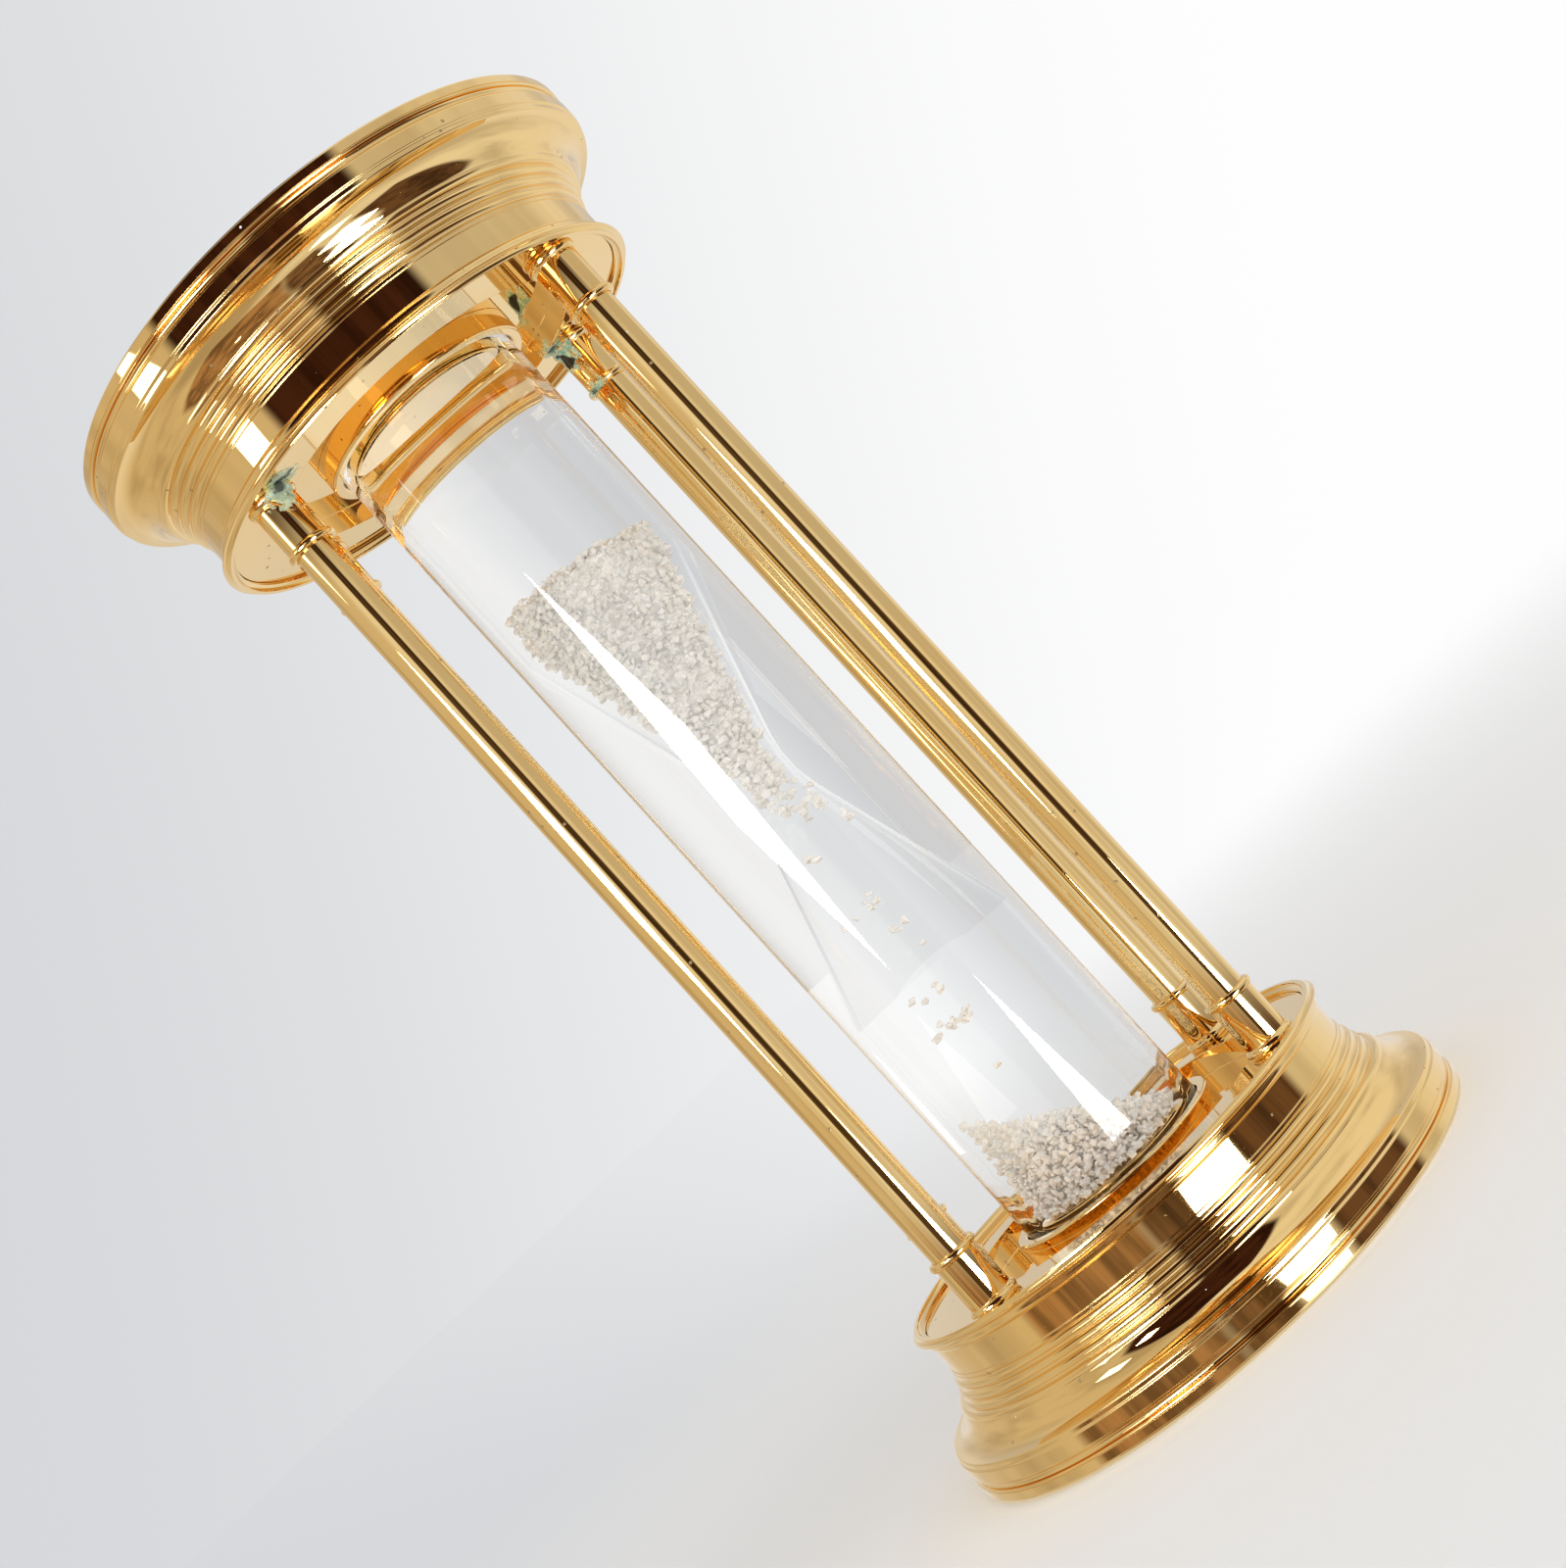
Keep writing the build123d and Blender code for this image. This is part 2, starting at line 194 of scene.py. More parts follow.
def makeCamera(v):
    turn = Matrix.Rotation(math.radians(v["azimuth"]), 3, "Z")
    place = turn @ Vector((0, -v["distance"], 0)) + Vector((0, 0, middle - v["belowMiddle"]))
    yaw, pitch, roll = (math.radians(v[k]) for k in ("yaw", "pitch", "roll"))
    forward = Vector((math.sin(yaw) * math.cos(pitch), math.cos(yaw) * math.cos(pitch), math.sin(pitch)))
    forward = turn @ forward
    side = forward.cross(Vector((0, 0, 1))).normalized()
    up = side.cross(forward)
    right = math.cos(roll) * side + math.sin(roll) * up
    top = math.cos(roll) * up - math.sin(roll) * side
    data = bpy.data.cameras.new("camera")
    data.sensor_fit, data.sensor_width, data.lens = "AUTO", v["sensor"], v["lens"]
    data.shift_x, data.shift_y = v["shift"]
    data.clip_start, data.clip_end = 0.01, 50
    camera = newObject("camera", data)
    basis = Matrix((right, top, -forward)).transposed().to_4x4()
    camera.matrix_world = Matrix.Translation(place * mm) @ basis
    scene.camera = camera
    return right, top, -forward


cameraRight, cameraUp, cameraBack = makeCamera(viewpoint)


# outlines are (radius, height) points in mm; a third number bulges the next side
def arcPoints(start, end, bulge, step):
    chord = Vector((end[0] - start[0], end[1] - start[1]))
    half = chord.length / 2
    radius = (half * half + bulge * bulge) / (2 * abs(bulge))
    side = Vector((chord.y, -chord.x)).normalized() * (1 if bulge > 0 else -1)
    centre = (Vector(start[:2]) + Vector(end[:2])) / 2 - side * (radius - abs(bulge))
    first = math.atan2(start[1] - centre.y, start[0] - centre.x)
    sweep = math.atan2(end[1] - centre.y, end[0] - centre.x) - first
    sweep = (sweep + math.pi) % (2 * math.pi) - math.pi
    count = max(2, math.ceil(abs(sweep) / math.radians(step)))
    angles = [first + sweep * i / count for i in range(1, count)]
    return [(centre.x + radius * math.cos(a), centre.y + radius * math.sin(a)) for a in angles]


# points of a closed outline: arcs drawn, sharp corners eased, flat sides held flat at their ends
def roundedOutline(points, edge, step=9.0, hold=0.05, share=0.4, shortest=0.4, sharp=25):
    drawn, straight = [], []
    for start, end in zip(points, points[1:] + points[:1]):
        bulged = arcPoints(start, end, start[2], step) if len(start) == 3 else []
        drawn += [(start[0], start[1])] + bulged
        straight += [not bulged] * (1 + len(bulged))
    eased = []
    for i, here in enumerate(drawn):
        before, after = Vector(drawn[i - 1]), Vector(drawn[(i + 1) % len(drawn)])
        corner = Vector(here)
        toBefore, toAfter = before - corner, after - corner
        if toBefore.length < 1e-6 or toAfter.length < 1e-6:
            eased.append(here)
            continue
        shape = [corner]
        if here[0] > 1e-6 and math.pi - toBefore.angle(toAfter) >= math.radians(sharp):
            cut = min(edge, share * toBefore.length, share * toAfter.length)
            first, last = corner + toBefore.normalized() * cut, corner + toAfter.normalized() * cut
            shape = [first * (1 - t) ** 2 + corner * 2 * t * (1 - t) + last * t * t
                     for t in (0.0, 0.25, 0.5, 0.75, 1.0)]
        if straight[i - 1] and toBefore.length > shortest:
            shape.insert(0, shape[0] + toBefore.normalized() * hold)
        if straight[i] and toAfter.length > shortest:
            shape.append(shape[-1] + toAfter.normalized() * hold)
        eased += [(point.x, point.y) for point in shape]
    return eased


# a piece turned from its outline: a grid rolled up round its axis
def makeTurningTree():
    tree, given, result = newGroup(
        "GeometryNodeTree", "turnedPiece",
        [("Outline", "Object", None), ("Segments", "Int", 192), ("Centre", "Vector", (0, 0, 0)),
         ("Finish", "Material", None)],
        [("Geometry", "Geometry")],
    )
    nodes = tree.nodes
    outline = nodes.new("GeometryNodeObjectInfo")
    join(tree, given["Outline"], outline.inputs["Object"])
    size = nodes.new("GeometryNodeAttributeDomainSize")
    join(tree, outline.outputs["Geometry"], size.inputs[0])
    count = size.outputs["Point Count"]
    grid = nodes.new("GeometryNodeMeshGrid")
    join(tree, mathNode(tree, "ADD", given["Segments"], 1), grid.inputs["Vertices X"])
    rows = mathNode(tree, "ADD", count, 1)
    join(tree, rows, grid.inputs["Vertices Y"])
    index = nodes.new("GeometryNodeInputIndex").outputs[0]
    along = mathNode(tree, "MODULO", mathNode(tree, "MODULO", index, rows), count)
    column = mathNode(tree, "FLOOR", mathNode(tree, "DIVIDE", mathNode(tree, "ADD", index, 0.5), rows))
    column = mathNode(tree, "MODULO", column, given["Segments"])
    share = mathNode(tree, "DIVIDE", column, given["Segments"])
    sample = nodes.new("GeometryNodeSampleIndex")
    sample.data_type, sample.domain = "FLOAT_VECTOR", "POINT"
    join(tree, outline.outputs["Geometry"], sample.inputs["Geometry"])
    join(tree, nodes.new("GeometryNodeInputPosition").outputs[0], sample.inputs["Value"])
    join(tree, along, sample.inputs["Index"])
    swing = nodes.new("ShaderNodeVectorRotate")
    swing.rotation_type = "Z_AXIS"
    join(tree, sample.outputs[0], swing.inputs["Vector"])
    join(tree, mathNode(tree, "MULTIPLY", share, 2 * math.pi), swing.inputs["Angle"])
    place = nodes.new("GeometryNodeSetPosition")
    join(tree, grid.outputs["Mesh"], place.inputs["Geometry"])
    join(tree, vectorNode(tree, "ADD", swing.outputs[0], given["Centre"]), place.inputs["Position"])
    weld = nodes.new("GeometryNodeMergeByDistance")
    join(tree, place.outputs[0], weld.inputs["Geometry"])
    setSocket(weld, "Distance", 2e-6)
    finishTree(tree, weld.outputs[0], given["Finish"], result)
    return tree


def finishTree(tree, geometry, material, result):
    real = tree.nodes.new("GeometryNodeRealizeInstances")
    join(tree, geometry, real.inputs["Geometry"])
    paint = tree.nodes.new("GeometryNodeSetMaterial")
    join(tree, real.outputs[0], paint.inputs["Geometry"])
    join(tree, material, paint.inputs["Material"])
    join(tree, paint.outputs[0], result[0])


# runs a geometry nodes tree once and leaves its result as a plain mesh object
def grow(name, tree, inputs, start=None):
    base = start or bpy.data.meshes.new(name + "Start")
    worker = newObject(name + "Worker", base)
    modifier = worker.modifiers.new("tree", "NODES")
    modifier.node_group = tree
    sockets = {item.name: item.identifier for item in tree.interface.items_tree if item.in_out == "INPUT"}
    for label, value in inputs.items():
        modifier[sockets[label]] = value
    bpy.context.view_layer.update()
    graph = bpy.context.evaluated_depsgraph_get()
    mesh = bpy.data.meshes.new_from_object(worker.evaluated_get(graph), depsgraph=graph)
    worker.modifiers.remove(modifier)
    bpy.data.objects.remove(worker)
    mesh.name = name
    return newObject(name, mesh)


turningTree = makeTurningTree()


# a turned piece; upsideDown puts it in the upper cap
def turn(name, outline, finish, segments=192, centre=(0, 0), edge=0.12, upsideDown=False):
    points = roundedOutline(outline, edge)
    if upsideDown:
        points = [(r, 2 * middle - z) for r, z in points]
    mesh = bpy.data.meshes.new("outline")
    mesh.from_pydata([(r * mm, 0, z * mm) for r, z in points], [], [])
    holder = newObject("outline", mesh)
    bpy.context.view_layer.update()
    piece = grow(name, turningTree, {
        "Outline": holder, "Segments": segments, "Centre": (centre[0] * mm, centre[1] * mm, 0),
        "Finish": finish,
    })
    bpy.data.objects.remove(holder)
    bpy.data.meshes.remove(mesh)
    closeUp(piece.data)
    return piece


# outward faces, smooth shading with sharp creases, and a crevice value for each point
def closeUp(mesh, sharp=32):
    work = bmesh.new()
    work.from_mesh(mesh)
    bmesh.ops.dissolve_degenerate(work, edges=work.edges, dist=1e-7)
    bmesh.ops.recalc_face_normals(work, faces=work.faces)
    work.normal_update()
    hollow = work.verts.layers.float.new("hollow")
    for vert in work.verts:
        total = sum((e.other_vert(vert).co - vert.co).normalized().dot(vert.normal) for e in vert.link_edges)
        vert[hollow] = total / max(1, len(vert.link_edges))
    for face in work.faces:
        face.smooth = True
    work.to_mesh(mesh)
    work.free()
    mesh.set_sharp_from_angle(angle=math.radians(sharp))
    mesh.update()


# the piece rides on the hourglass and stands for these nodes, which are hidden
def place(piece, *nodes):
    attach(piece, "root")
    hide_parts(*nodes)
    return piece


# a piece that both caps have, turned over in the upper one
def turnEnd(end, name, node, outline, finish, s, edge=0.12):
    piece = turn(end + name, outline, finish, s["segments"], edge=edge, upsideDown=end == "upper")
    return place(piece, end + "_" + node)


# polishing marks: fine hairlines drawn out along one direction, and tiny pits
def makeMarksGroup():
    tree, given, result = newGroup(
        "ShaderNodeTree", "polishMarks",
        [("Position", "Vector", None), ("Stretch", "Vector", (1, 1, 1)), ("Fineness", "Float", 2600.0),
         ("Pit Spacing", "Float", 900.0), ("Pit Amount", "Float", 0.12)],
        [("Hairlines", "Float"), ("Pits", "Float"), ("Haze", "Float")],
    )
    stretched = vectorNode(tree, "MULTIPLY", given["Position"], given["Stretch"])
    fine = noiseNode(tree, stretched, given["Fineness"], 4.0, 0.65)
    join(tree, rampNode(tree, fine, 0.50, 0.78), result["Hairlines"])
    distance, own = cellNode(tree, given["Position"], given["Pit Spacing"])
    spot = mathNode(tree, "LESS_THAN", distance, mathNode(tree, "MULTIPLY", own[1], 0.26))
    chosen = mathNode(tree, "LESS_THAN", own[0], given["Pit Amount"])
    join(tree, mathNode(tree, "MULTIPLY", spot, chosen), result["Pits"])
    join(tree, rampNode(tree, noiseNode(tree, given["Position"], 90.0, 5.0, 0.6), 0.38, 0.72),
         result["Haze"])
    return tree


def makeDustGroup():
    tree, given, result = newGroup(
        "ShaderNodeTree", "looseDust",
        [("Position", "Vector", None), ("Spacing", "Float", 420.0), ("Amount", "Float", 0.1)],
        [("Dust", "Float")],
    )
    bent = noiseNode(tree, given["Position"], 2200.0, 2.0)
    distance, own = cellNode(tree, given["Position"], given["Spacing"])
    reach = mathNode(tree, "MULTIPLY", mathNode(tree, "MULTIPLY", own[2], 0.16), bent)
    spot = mathNode(tree, "LESS_THAN", distance, reach)
    chosen = mathNode(tree, "LESS_THAN", own[0], given["Amount"])
    join(tree, mathNode(tree, "MULTIPLY", spot, chosen), result["Dust"])
    return tree


# blue-green bloom round one place, with a dark core
def makeVerdigrisGroup():
    tree, given, result = newGroup(
        "ShaderNodeTree", "verdigrisBloom",
        [("Position", "Vector", None), ("Centre", "Vector", (0, 0, 0)), ("Reach", "Float", 0.003),
         ("Strength", "Float", 1.0)],
        [("Bloom", "Float"), ("Core", "Float"), ("Colour", "Color")],
    )
    position = given["Position"]
    away = vectorNode(tree, "DISTANCE", position, given["Centre"])
    near = mathNode(tree, "SUBTRACT", 1.0, mathNode(tree, "DIVIDE", away, given["Reach"]))
    ragged = mathNode(tree, "SUBTRACT", noiseNode(tree, position, 1100.0, 5.0, 0.7), 0.5)
    edge = mathNode(tree, "MULTIPLY_ADD", ragged, 2.4, near)
    bloom = mathNode(tree, "MULTIPLY", rampNode(tree, edge, 0.12, 0.4), given["Strength"])
    join(tree, bloom, result["Bloom"])
    ragged = mathNode(tree, "SUBTRACT", noiseNode(tree, position, 650.0, 3.0), 0.5)
    core = mathNode(tree, "MULTIPLY_ADD", ragged, 1.6, near)
    core = mathNode(tree, "MULTIPLY", rampNode(tree, core, 0.62, 0.8), given["Strength"])
    join(tree, core, result["Core"])
    pale = noiseNode(tree, position, 1500.0, 4.0, 0.7)
    join(tree, mixColour(tree, rampNode(tree, pale, 0.35, 0.7), (0.16, 0.36, 0.33), (0.50, 0.74, 0.68)),
         result["Colour"])
    return tree


marksGroup = makeMarksGroup()
dustGroup = makeDustGroup()
verdigrisGroup = makeVerdigrisGroup()


def newMaterial(name):
    material = bpy.data.materials.new(name)
    material.use_nodes = True
    tree = material.node_tree
    shader = tree.nodes["Principled BSDF"]
    position = tree.nodes.new("ShaderNodeTexCoord").outputs["Object"]
    return material, tree, shader, position


def placeGroup(tree, group, position, **values):
    node = tree.nodes.new("ShaderNodeGroup")
    node.node_tree = group
    join(tree, position, node.inputs["Position"])
    for label, value in values.items():
        node.inputs[label.replace("_", " ")].default_value = value
    return node


goldLook = {
    "colour": (0.95, 0.695, 0.32),
    "deep": (0.94, 0.655, 0.265),
    "hollowDark": (0.060, 0.030, 0.012),
    "dust": (0.72, 0.70, 0.66),
    "roughness": 0.018,
}


# polished gold plate; blooms are (centre in mm, reach in mm, strength) of verdigris
def goldMaterial(name, stretch=(1, 1, 1), fineness=2600.0, hairDepth=0.3, pits=0.05, dust=0.05,
                 haze=0.025, blooms=()):
    material, tree, shader, position = newMaterial(name)
    marks = placeGroup(tree, marksGroup, position, Stretch=stretch, Fineness=fineness, Pit_Amount=pits)
    specks = placeGroup(tree, dustGroup, position, Amount=dust).outputs["Dust"]
    # darker, less metallic and rougher where the outline turns inward, in patches; the pits take the same
    # dark colour
    hollow = tree.nodes.new("ShaderNodeAttribute")
    hollow.attribute_name = "hollow"
    hollowDark = rampNode(tree, hollow.outputs["Fac"], 0.05, 0.32)
    patchy = rampNode(tree, noiseNode(tree, position, 260.0, 5.0, 0.65), 0.32, 0.66, 0.25, 1.0)
    hollowDark = mathNode(tree, "MULTIPLY", hollowDark, patchy)
    tone = rampNode(tree, noiseNode(tree, position, 38.0, 3.0), 0.35, 0.75)
    colour = mixColour(tree, tone, goldLook["colour"], goldLook["deep"])
    colour = mixColour(tree, mathNode(tree, "MULTIPLY", hollowDark, 0.8), colour, goldLook["hollowDark"])
    pitShade = mathNode(tree, "MULTIPLY", marks.outputs["Pits"], 0.75)
    colour = mixColour(tree, pitShade, colour, goldLook["hollowDark"])
    cover = mathNode(tree, "MAXIMUM", mathNode(tree, "MULTIPLY", hollowDark, 0.55), pitShade)
    for centre, reach, strength in blooms:
        bloom = placeGroup(tree, verdigrisGroup, position, Centre=[c * mm for c in centre],
                           Reach=reach * mm, Strength=strength)
        colour = mixColour(tree, bloom.outputs["Bloom"], colour, bloom.outputs["Colour"])
        colour = mixColour(tree, bloom.outputs["Core"], colour, (0.012, 0.012, 0.016))
        cover = mathNode(tree, "MAXIMUM", cover, bloom.outputs["Bloom"])
    colour = mixColour(tree, specks, colour, goldLook["dust"])
    cover = mathNode(tree, "MAXIMUM", cover, specks)
    join(tree, colour, shader.inputs["Base Color"])
    join(tree, mathNode(tree, "SUBTRACT", 1.0, cover, clamp=True), shader.inputs["Metallic"])
    rough = mathNode(tree, "MULTIPLY_ADD", marks.outputs["Haze"], haze, goldLook["roughness"])
    rough = mathNode(tree, "MULTIPLY_ADD", marks.outputs["Hairlines"], 0.10 * hairDepth, rough)
    rough = mathNode(tree, "MULTIPLY_ADD", cover, 0.6, rough, clamp=True)
    join(tree, rough, shader.inputs["Roughness"])
    height = mathNode(tree, "MULTIPLY", marks.outputs["Hairlines"], -hairDepth)
    height = mathNode(tree, "MULTIPLY_ADD", marks.outputs["Pits"], -1.0, height)
    height = mathNode(tree, "MULTIPLY_ADD", cover, 0.5, height)
    bumpNode(tree, height, shader, 0.15, 0.00001)
    return material


def steelMaterial():
    material, tree, shader, position = newMaterial("zincSteel")
    marks = placeGroup(tree, marksGroup, position, Stretch=(1, 1, 0.1), Pit_Amount=0.05)
    tone = mixColour(tree, marks.outputs["Haze"], (0.60, 0.61, 0.63), (0.44, 0.45, 0.48))
    join(tree, tone, shader.inputs["Base Color"])
    setSocket(shader, "Metallic", 1.0)
    join(tree, mathNode(tree, "MULTIPLY_ADD", marks.outputs["Hairlines"], 0.25, 0.28),
         shader.inputs["Roughness"])
    return material


def siliconeMaterial():
    material, tree, shader, position = newMaterial("sealSilicone")
    tone = mixColour(tree, noiseNode(tree, position, 700.0), (0.012, 0.012, 0.013), (0.028, 0.028, 0.03))
    join(tree, tone, shader.inputs["Base Color"])
    join(tree, rampNode(tree, noiseNode(tree, position, 1800.0), 0.3, 0.7, 0.5, 0.75),
         shader.inputs["Roughness"])
    return material


def feltMaterial():
    material, tree, shader, position = newMaterial("woolFelt")
    matted = noiseNode(tree, position, 1900.0, 6.0, 0.7)
    patch = noiseNode(tree, position, 160.0, 4.0)
    colour = mixColour(tree, rampNode(tree, matted, 0.3, 0.7), (0.012, 0.026, 0.018), (0.045, 0.085, 0.060))
    colour = mixColour(tree, rampNode(tree, patch, 0.4, 0.75, 0.0, 0.5), colour, (0.020, 0.050, 0.036))
    join(tree, colour, shader.inputs["Base Color"])
    setSocket(shader, "Roughness", 0.95)
    setSocket(shader, "Sheen Weight", 0.6)
    setSocket(shader, "Sheen Roughness", 0.45)
    bumpNode(tree, matted, shader, 0.8, 0.0003)
    return material


# clear polished glass; only its finish varies, with faint drawing lines along the tube
def glassMaterial(name, index):
    material, tree, shader, position = newMaterial(name)
    drawn = vectorNode(tree, "MULTIPLY", position, (1.0, 1.0, 0.03))
    lines = noiseNode(tree, drawn, 900.0, 3.0)
    setSocket(shader, "Base Color", (0.985, 0.99, 0.99, 1.0))
    setSocket(shader, "Transmission Weight", 1.0)
    setSocket(shader, "IOR", index)
    specks = placeGroup(tree, dustGroup, position, Amount=0.02, Spacing=300.0).outputs["Dust"]
    join(tree, mathNode(tree, "MULTIPLY", specks, 0.35), shader.inputs["Roughness"])
    bumpNode(tree, lines, shader, 0.02, 0.0001)
    return material


# clear broken chips, faintly milky; the index is the one they have against the liquid
def crystalMaterial():
    material, tree, shader, position = newMaterial("crystalChips")
    shade = tree.nodes.new("ShaderNodeAttribute")
    shade.attribute_name = "shade"
    colour = mixColour(tree, shade.outputs["Fac"], (0.93, 0.93, 0.92), (1.0, 1.0, 1.0))
    join(tree, colour, shader.inputs["Base Color"])
    setSocket(shader, "Transmission Weight", 0.2)
    setSocket(shader, "IOR", 1.6)
    rough = rampNode(tree, noiseNode(tree, position, 1300.0), 0.4, 0.8, 0.0, 0.10)
    join(tree, rough, shader.inputs["Roughness"])
    return material


# the depth of a packed charge, where the chips run together to a pale mass
def packedMaterial():
    material, tree, shader, position = newMaterial("packedCrystals")
    own = cellNode(tree, position, 900.0)[1]
    colour = mixColour(tree, own[0], (0.88, 0.88, 0.87), (0.99, 0.99, 0.985))
    join(tree, colour, shader.inputs["Base Color"])
    join(tree, rampNode(tree, own[1], 0.2, 0.8, 0.35, 0.7), shader.inputs["Roughness"])
    return material


capGold = goldMaterial("capGold", fineness=1700.0, hairDepth=0.06)
edgeGold = goldMaterial("endPlateGold", fineness=1700.0, hairDepth=0.1, pits=0.08)
steel = steelMaterial()
silicone = siliconeMaterial()
felt = feltMaterial()
glass = glassMaterial("clearGlass", 1.49)
wettedGlass = glassMaterial("wettedGlass", 1.49 / 1.42)
crystal = crystalMaterial()
packed = packedMaterial()
print("materials ready")


# the cap shell, in mm; depths run from the lip plane towards the end plate
capSizes = {
    "lipRadius": 35.0, "lipWidth": 1.9, "lipRound": 0.65, "lipUndercut": 0.2,
    "lipCove": 0.35, "lipCoveBulge": 0.1, "lipUnder": 0.9,
    "neckRadius": 33.7, "neckTop": 1.9, "neckEnd": 5.6,
    "reedStep": 0.5, "reedHeight": 1.05, "reedGap": 0.3, "reedBulge": 0.3, "reedCount": 3,
    "reedBase": 33.95, "reedStart": 6.1, "reedShadow": 0.1,
    "coveHeight": 0.9, "coveBulge": 0.3, "ovoloFoot": 1.05, "quirk": 0.15, "ovoloBulge": 0.8,
    "ovoloEnd": 14.2, "filletInset": 0.28, "bandStart": 15.1, "bandEnd": 16.95,
    "grooveDepth": 0.4, "grooveWidth": 0.3, "grooveSlope": 0.1, "beadBulge": 0.2,
    "joint": 18.3, "jointChamfer": 0.25, "mouthWall": 3.0, "mouthDepth": 1.55, "rimWall": 4.2,
    "cavityRadius": 31.4, "cavityEnd": 10.2, "webBack": 7.4, "webTop": 5.4, "hubBore": 5.05,
    "pocketRadius": 32.05, "flangeDepth": 1.6, "segments": 256,
}


# turns (radius, depth from the lip plane) into (radius, height) in the lower cap
def depth(points):
    return [(p[0], lipPlane - p[1], *(-b for b in p[2:])) for p in points]


def capOutline(s):
    arc = s["lipRound"] * (1 - math.cos(math.radians(45)))  # a full quarter round
    inner = s["lipRadius"] - s["lipWidth"]
    crest = -lipRise
    points = [
        (inner, crest + s["lipRound"], -arc),
        (inner + s["lipRound"], crest),
        (s["lipRadius"] - s["lipRound"], crest, -arc),
        (s["lipRadius"], crest + s["lipRound"]),
        (s["lipRadius"], s["lipUnder"] - s["lipRound"], -arc),
        (s["lipRadius"] - s["lipRound"], s["lipUnder"]),
        (s["lipRadius"] - s["lipRound"] - s["lipUndercut"], s["lipUnder"]),
        (s["lipRadius"] - s["lipRound"] - s["lipUndercut"], s["lipUnder"] + s["lipCove"], s["lipCoveBulge"]),
        (s["neckRadius"], s["neckTop"]),
        (s["neckRadius"], s["neckEnd"]),
        (s["reedBase"] - s["reedShadow"], s["neckEnd"]),
        (s["reedBase"] - s["reedShadow"], s["reedStart"]),
    ]
    pitch = s["reedHeight"] + s["reedGap"]
    for i in range(s["reedCount"]):
        radius, top = s["reedBase"] + s["reedStep"] * i, s["reedStart"] + pitch * i
        points += [
            (radius, top, -s["reedBulge"]),
            (radius + s["reedStep"] / 2, top + s["reedHeight"]),
            (radius + s["reedStep"] / 2, top + pitch),
        ]
    radius, top = s["reedBase"] + s["reedStep"] * s["reedCount"], s["reedStart"] + pitch * s["reedCount"]
    foot, fillet = radius + s["ovoloFoot"], rimRadius - s["filletInset"]
    floor = rimRadius - s["grooveDepth"]
    points += [
        (radius, top, s["coveBulge"]),
        (foot - s["quirk"], top + s["coveHeight"]),
        (foot, top + s["coveHeight"] + s["quirk"], -s["ovoloBulge"]),
        (fillet - s["quirk"], s["ovoloEnd"]),
        (fillet, s["ovoloEnd"] + s["quirk"]),
        (fillet, s["bandStart"] - s["quirk"]),
        (rimRadius, s["bandStart"]),
        (rimRadius, s["bandEnd"]),
        (floor, s["bandEnd"] + s["grooveSlope"]),
        (floor, s["bandEnd"] + s["grooveWidth"], -s["beadBulge"]),
        (floor, s["joint"] - s["jointChamfer"]),
        (floor - s["jointChamfer"], s["joint"]),
        (rimRadius - s["mouthWall"], s["joint"]),
        (rimRadius - s["mouthWall"], s["joint"] - s["mouthDepth"]),
        (rimRadius - s["rimWall"], s["joint"] - s["mouthDepth"]),
        (rimRadius - s["rimWall"], s["bandStart"]),
        (s["cavityRadius"], s["cavityEnd"]),
        (s["cavityRadius"], s["webBack"]),
        (s["hubBore"], s["webBack"]),
        (s["hubBore"], s["webTop"]),
        (s["pocketRadius"], s["webTop"]),
        (s["pocketRadius"], s["flangeDepth"]),
        (inner, s["flangeDepth"]),
    ]
    return depth(points)


for end in ends:
    turnEnd(end, "Cap", "cap_shell", capOutline(capSizes), capGold, capSizes, edge=0.09)
print("caps turned")


endPlateSizes = {"mouthWall": 3.05, "spigot": 1.5, "edge": 0.3, "feltMargin": 5.0, "recess": 0.9,
                 "segments": 256}


def endPlateOutline(s):
    joint = capSizes["joint"]
    face = lipPlane - endLow.z
    spigot = rimRadius - s["mouthWall"]
    return depth([
        (0, joint - s["spigot"]),
        (spigot, joint - s["spigot"]),
        (spigot, joint),
        (rimRadius - s["edge"], joint, -s["edge"] * easedBulge),
        (rimRadius, joint + s["edge"]),
        (rimRadius, face - s["edge"], -s["edge"] * easedBulge),
        (rimRadius - s["edge"], face),
        (rimRadius - s["feltMargin"], face),
        (rimRadius - s["feltMargin"], face - s["recess"]),
        (0, face - s["recess"]),
    ])


for end in ends:
    turnEnd(end, "EndPlate", "end_plate", endPlateOutline(endPlateSizes), edgeGold, endPlateSizes)


plateSizes = {"wellRadius": 24.5, "wellDepth": 3.0, "hub": 5.05, "flange": 1.2, "step": 1.1,
              "segments": 224}
seatSizes = {"margin": 1.8, "face": 0.1, "socketDepth": 2.5, "clearance": 0.15, "boss": 8.75,
             "edge": 0.25, "hub": 5.0, "hubEnd": 6.9, "segments": 192}


def plateOutline(s):
    top = lipPlane - ledge
    outer = plateHigh.x
    return depth([
        (s["hub"], lipPlane - plateLow.z),
        (outer - s["step"], lipPlane - plateLow.z),
        (outer - s["step"], top + s["flange"]),
        (outer, top + s["flange"]),
        (outer, top),
        (s["wellRadius"], top),
        (s["wellRadius"], top + s["wellDepth"]),
        (s["hub"], top + s["wellDepth"]),
    ])


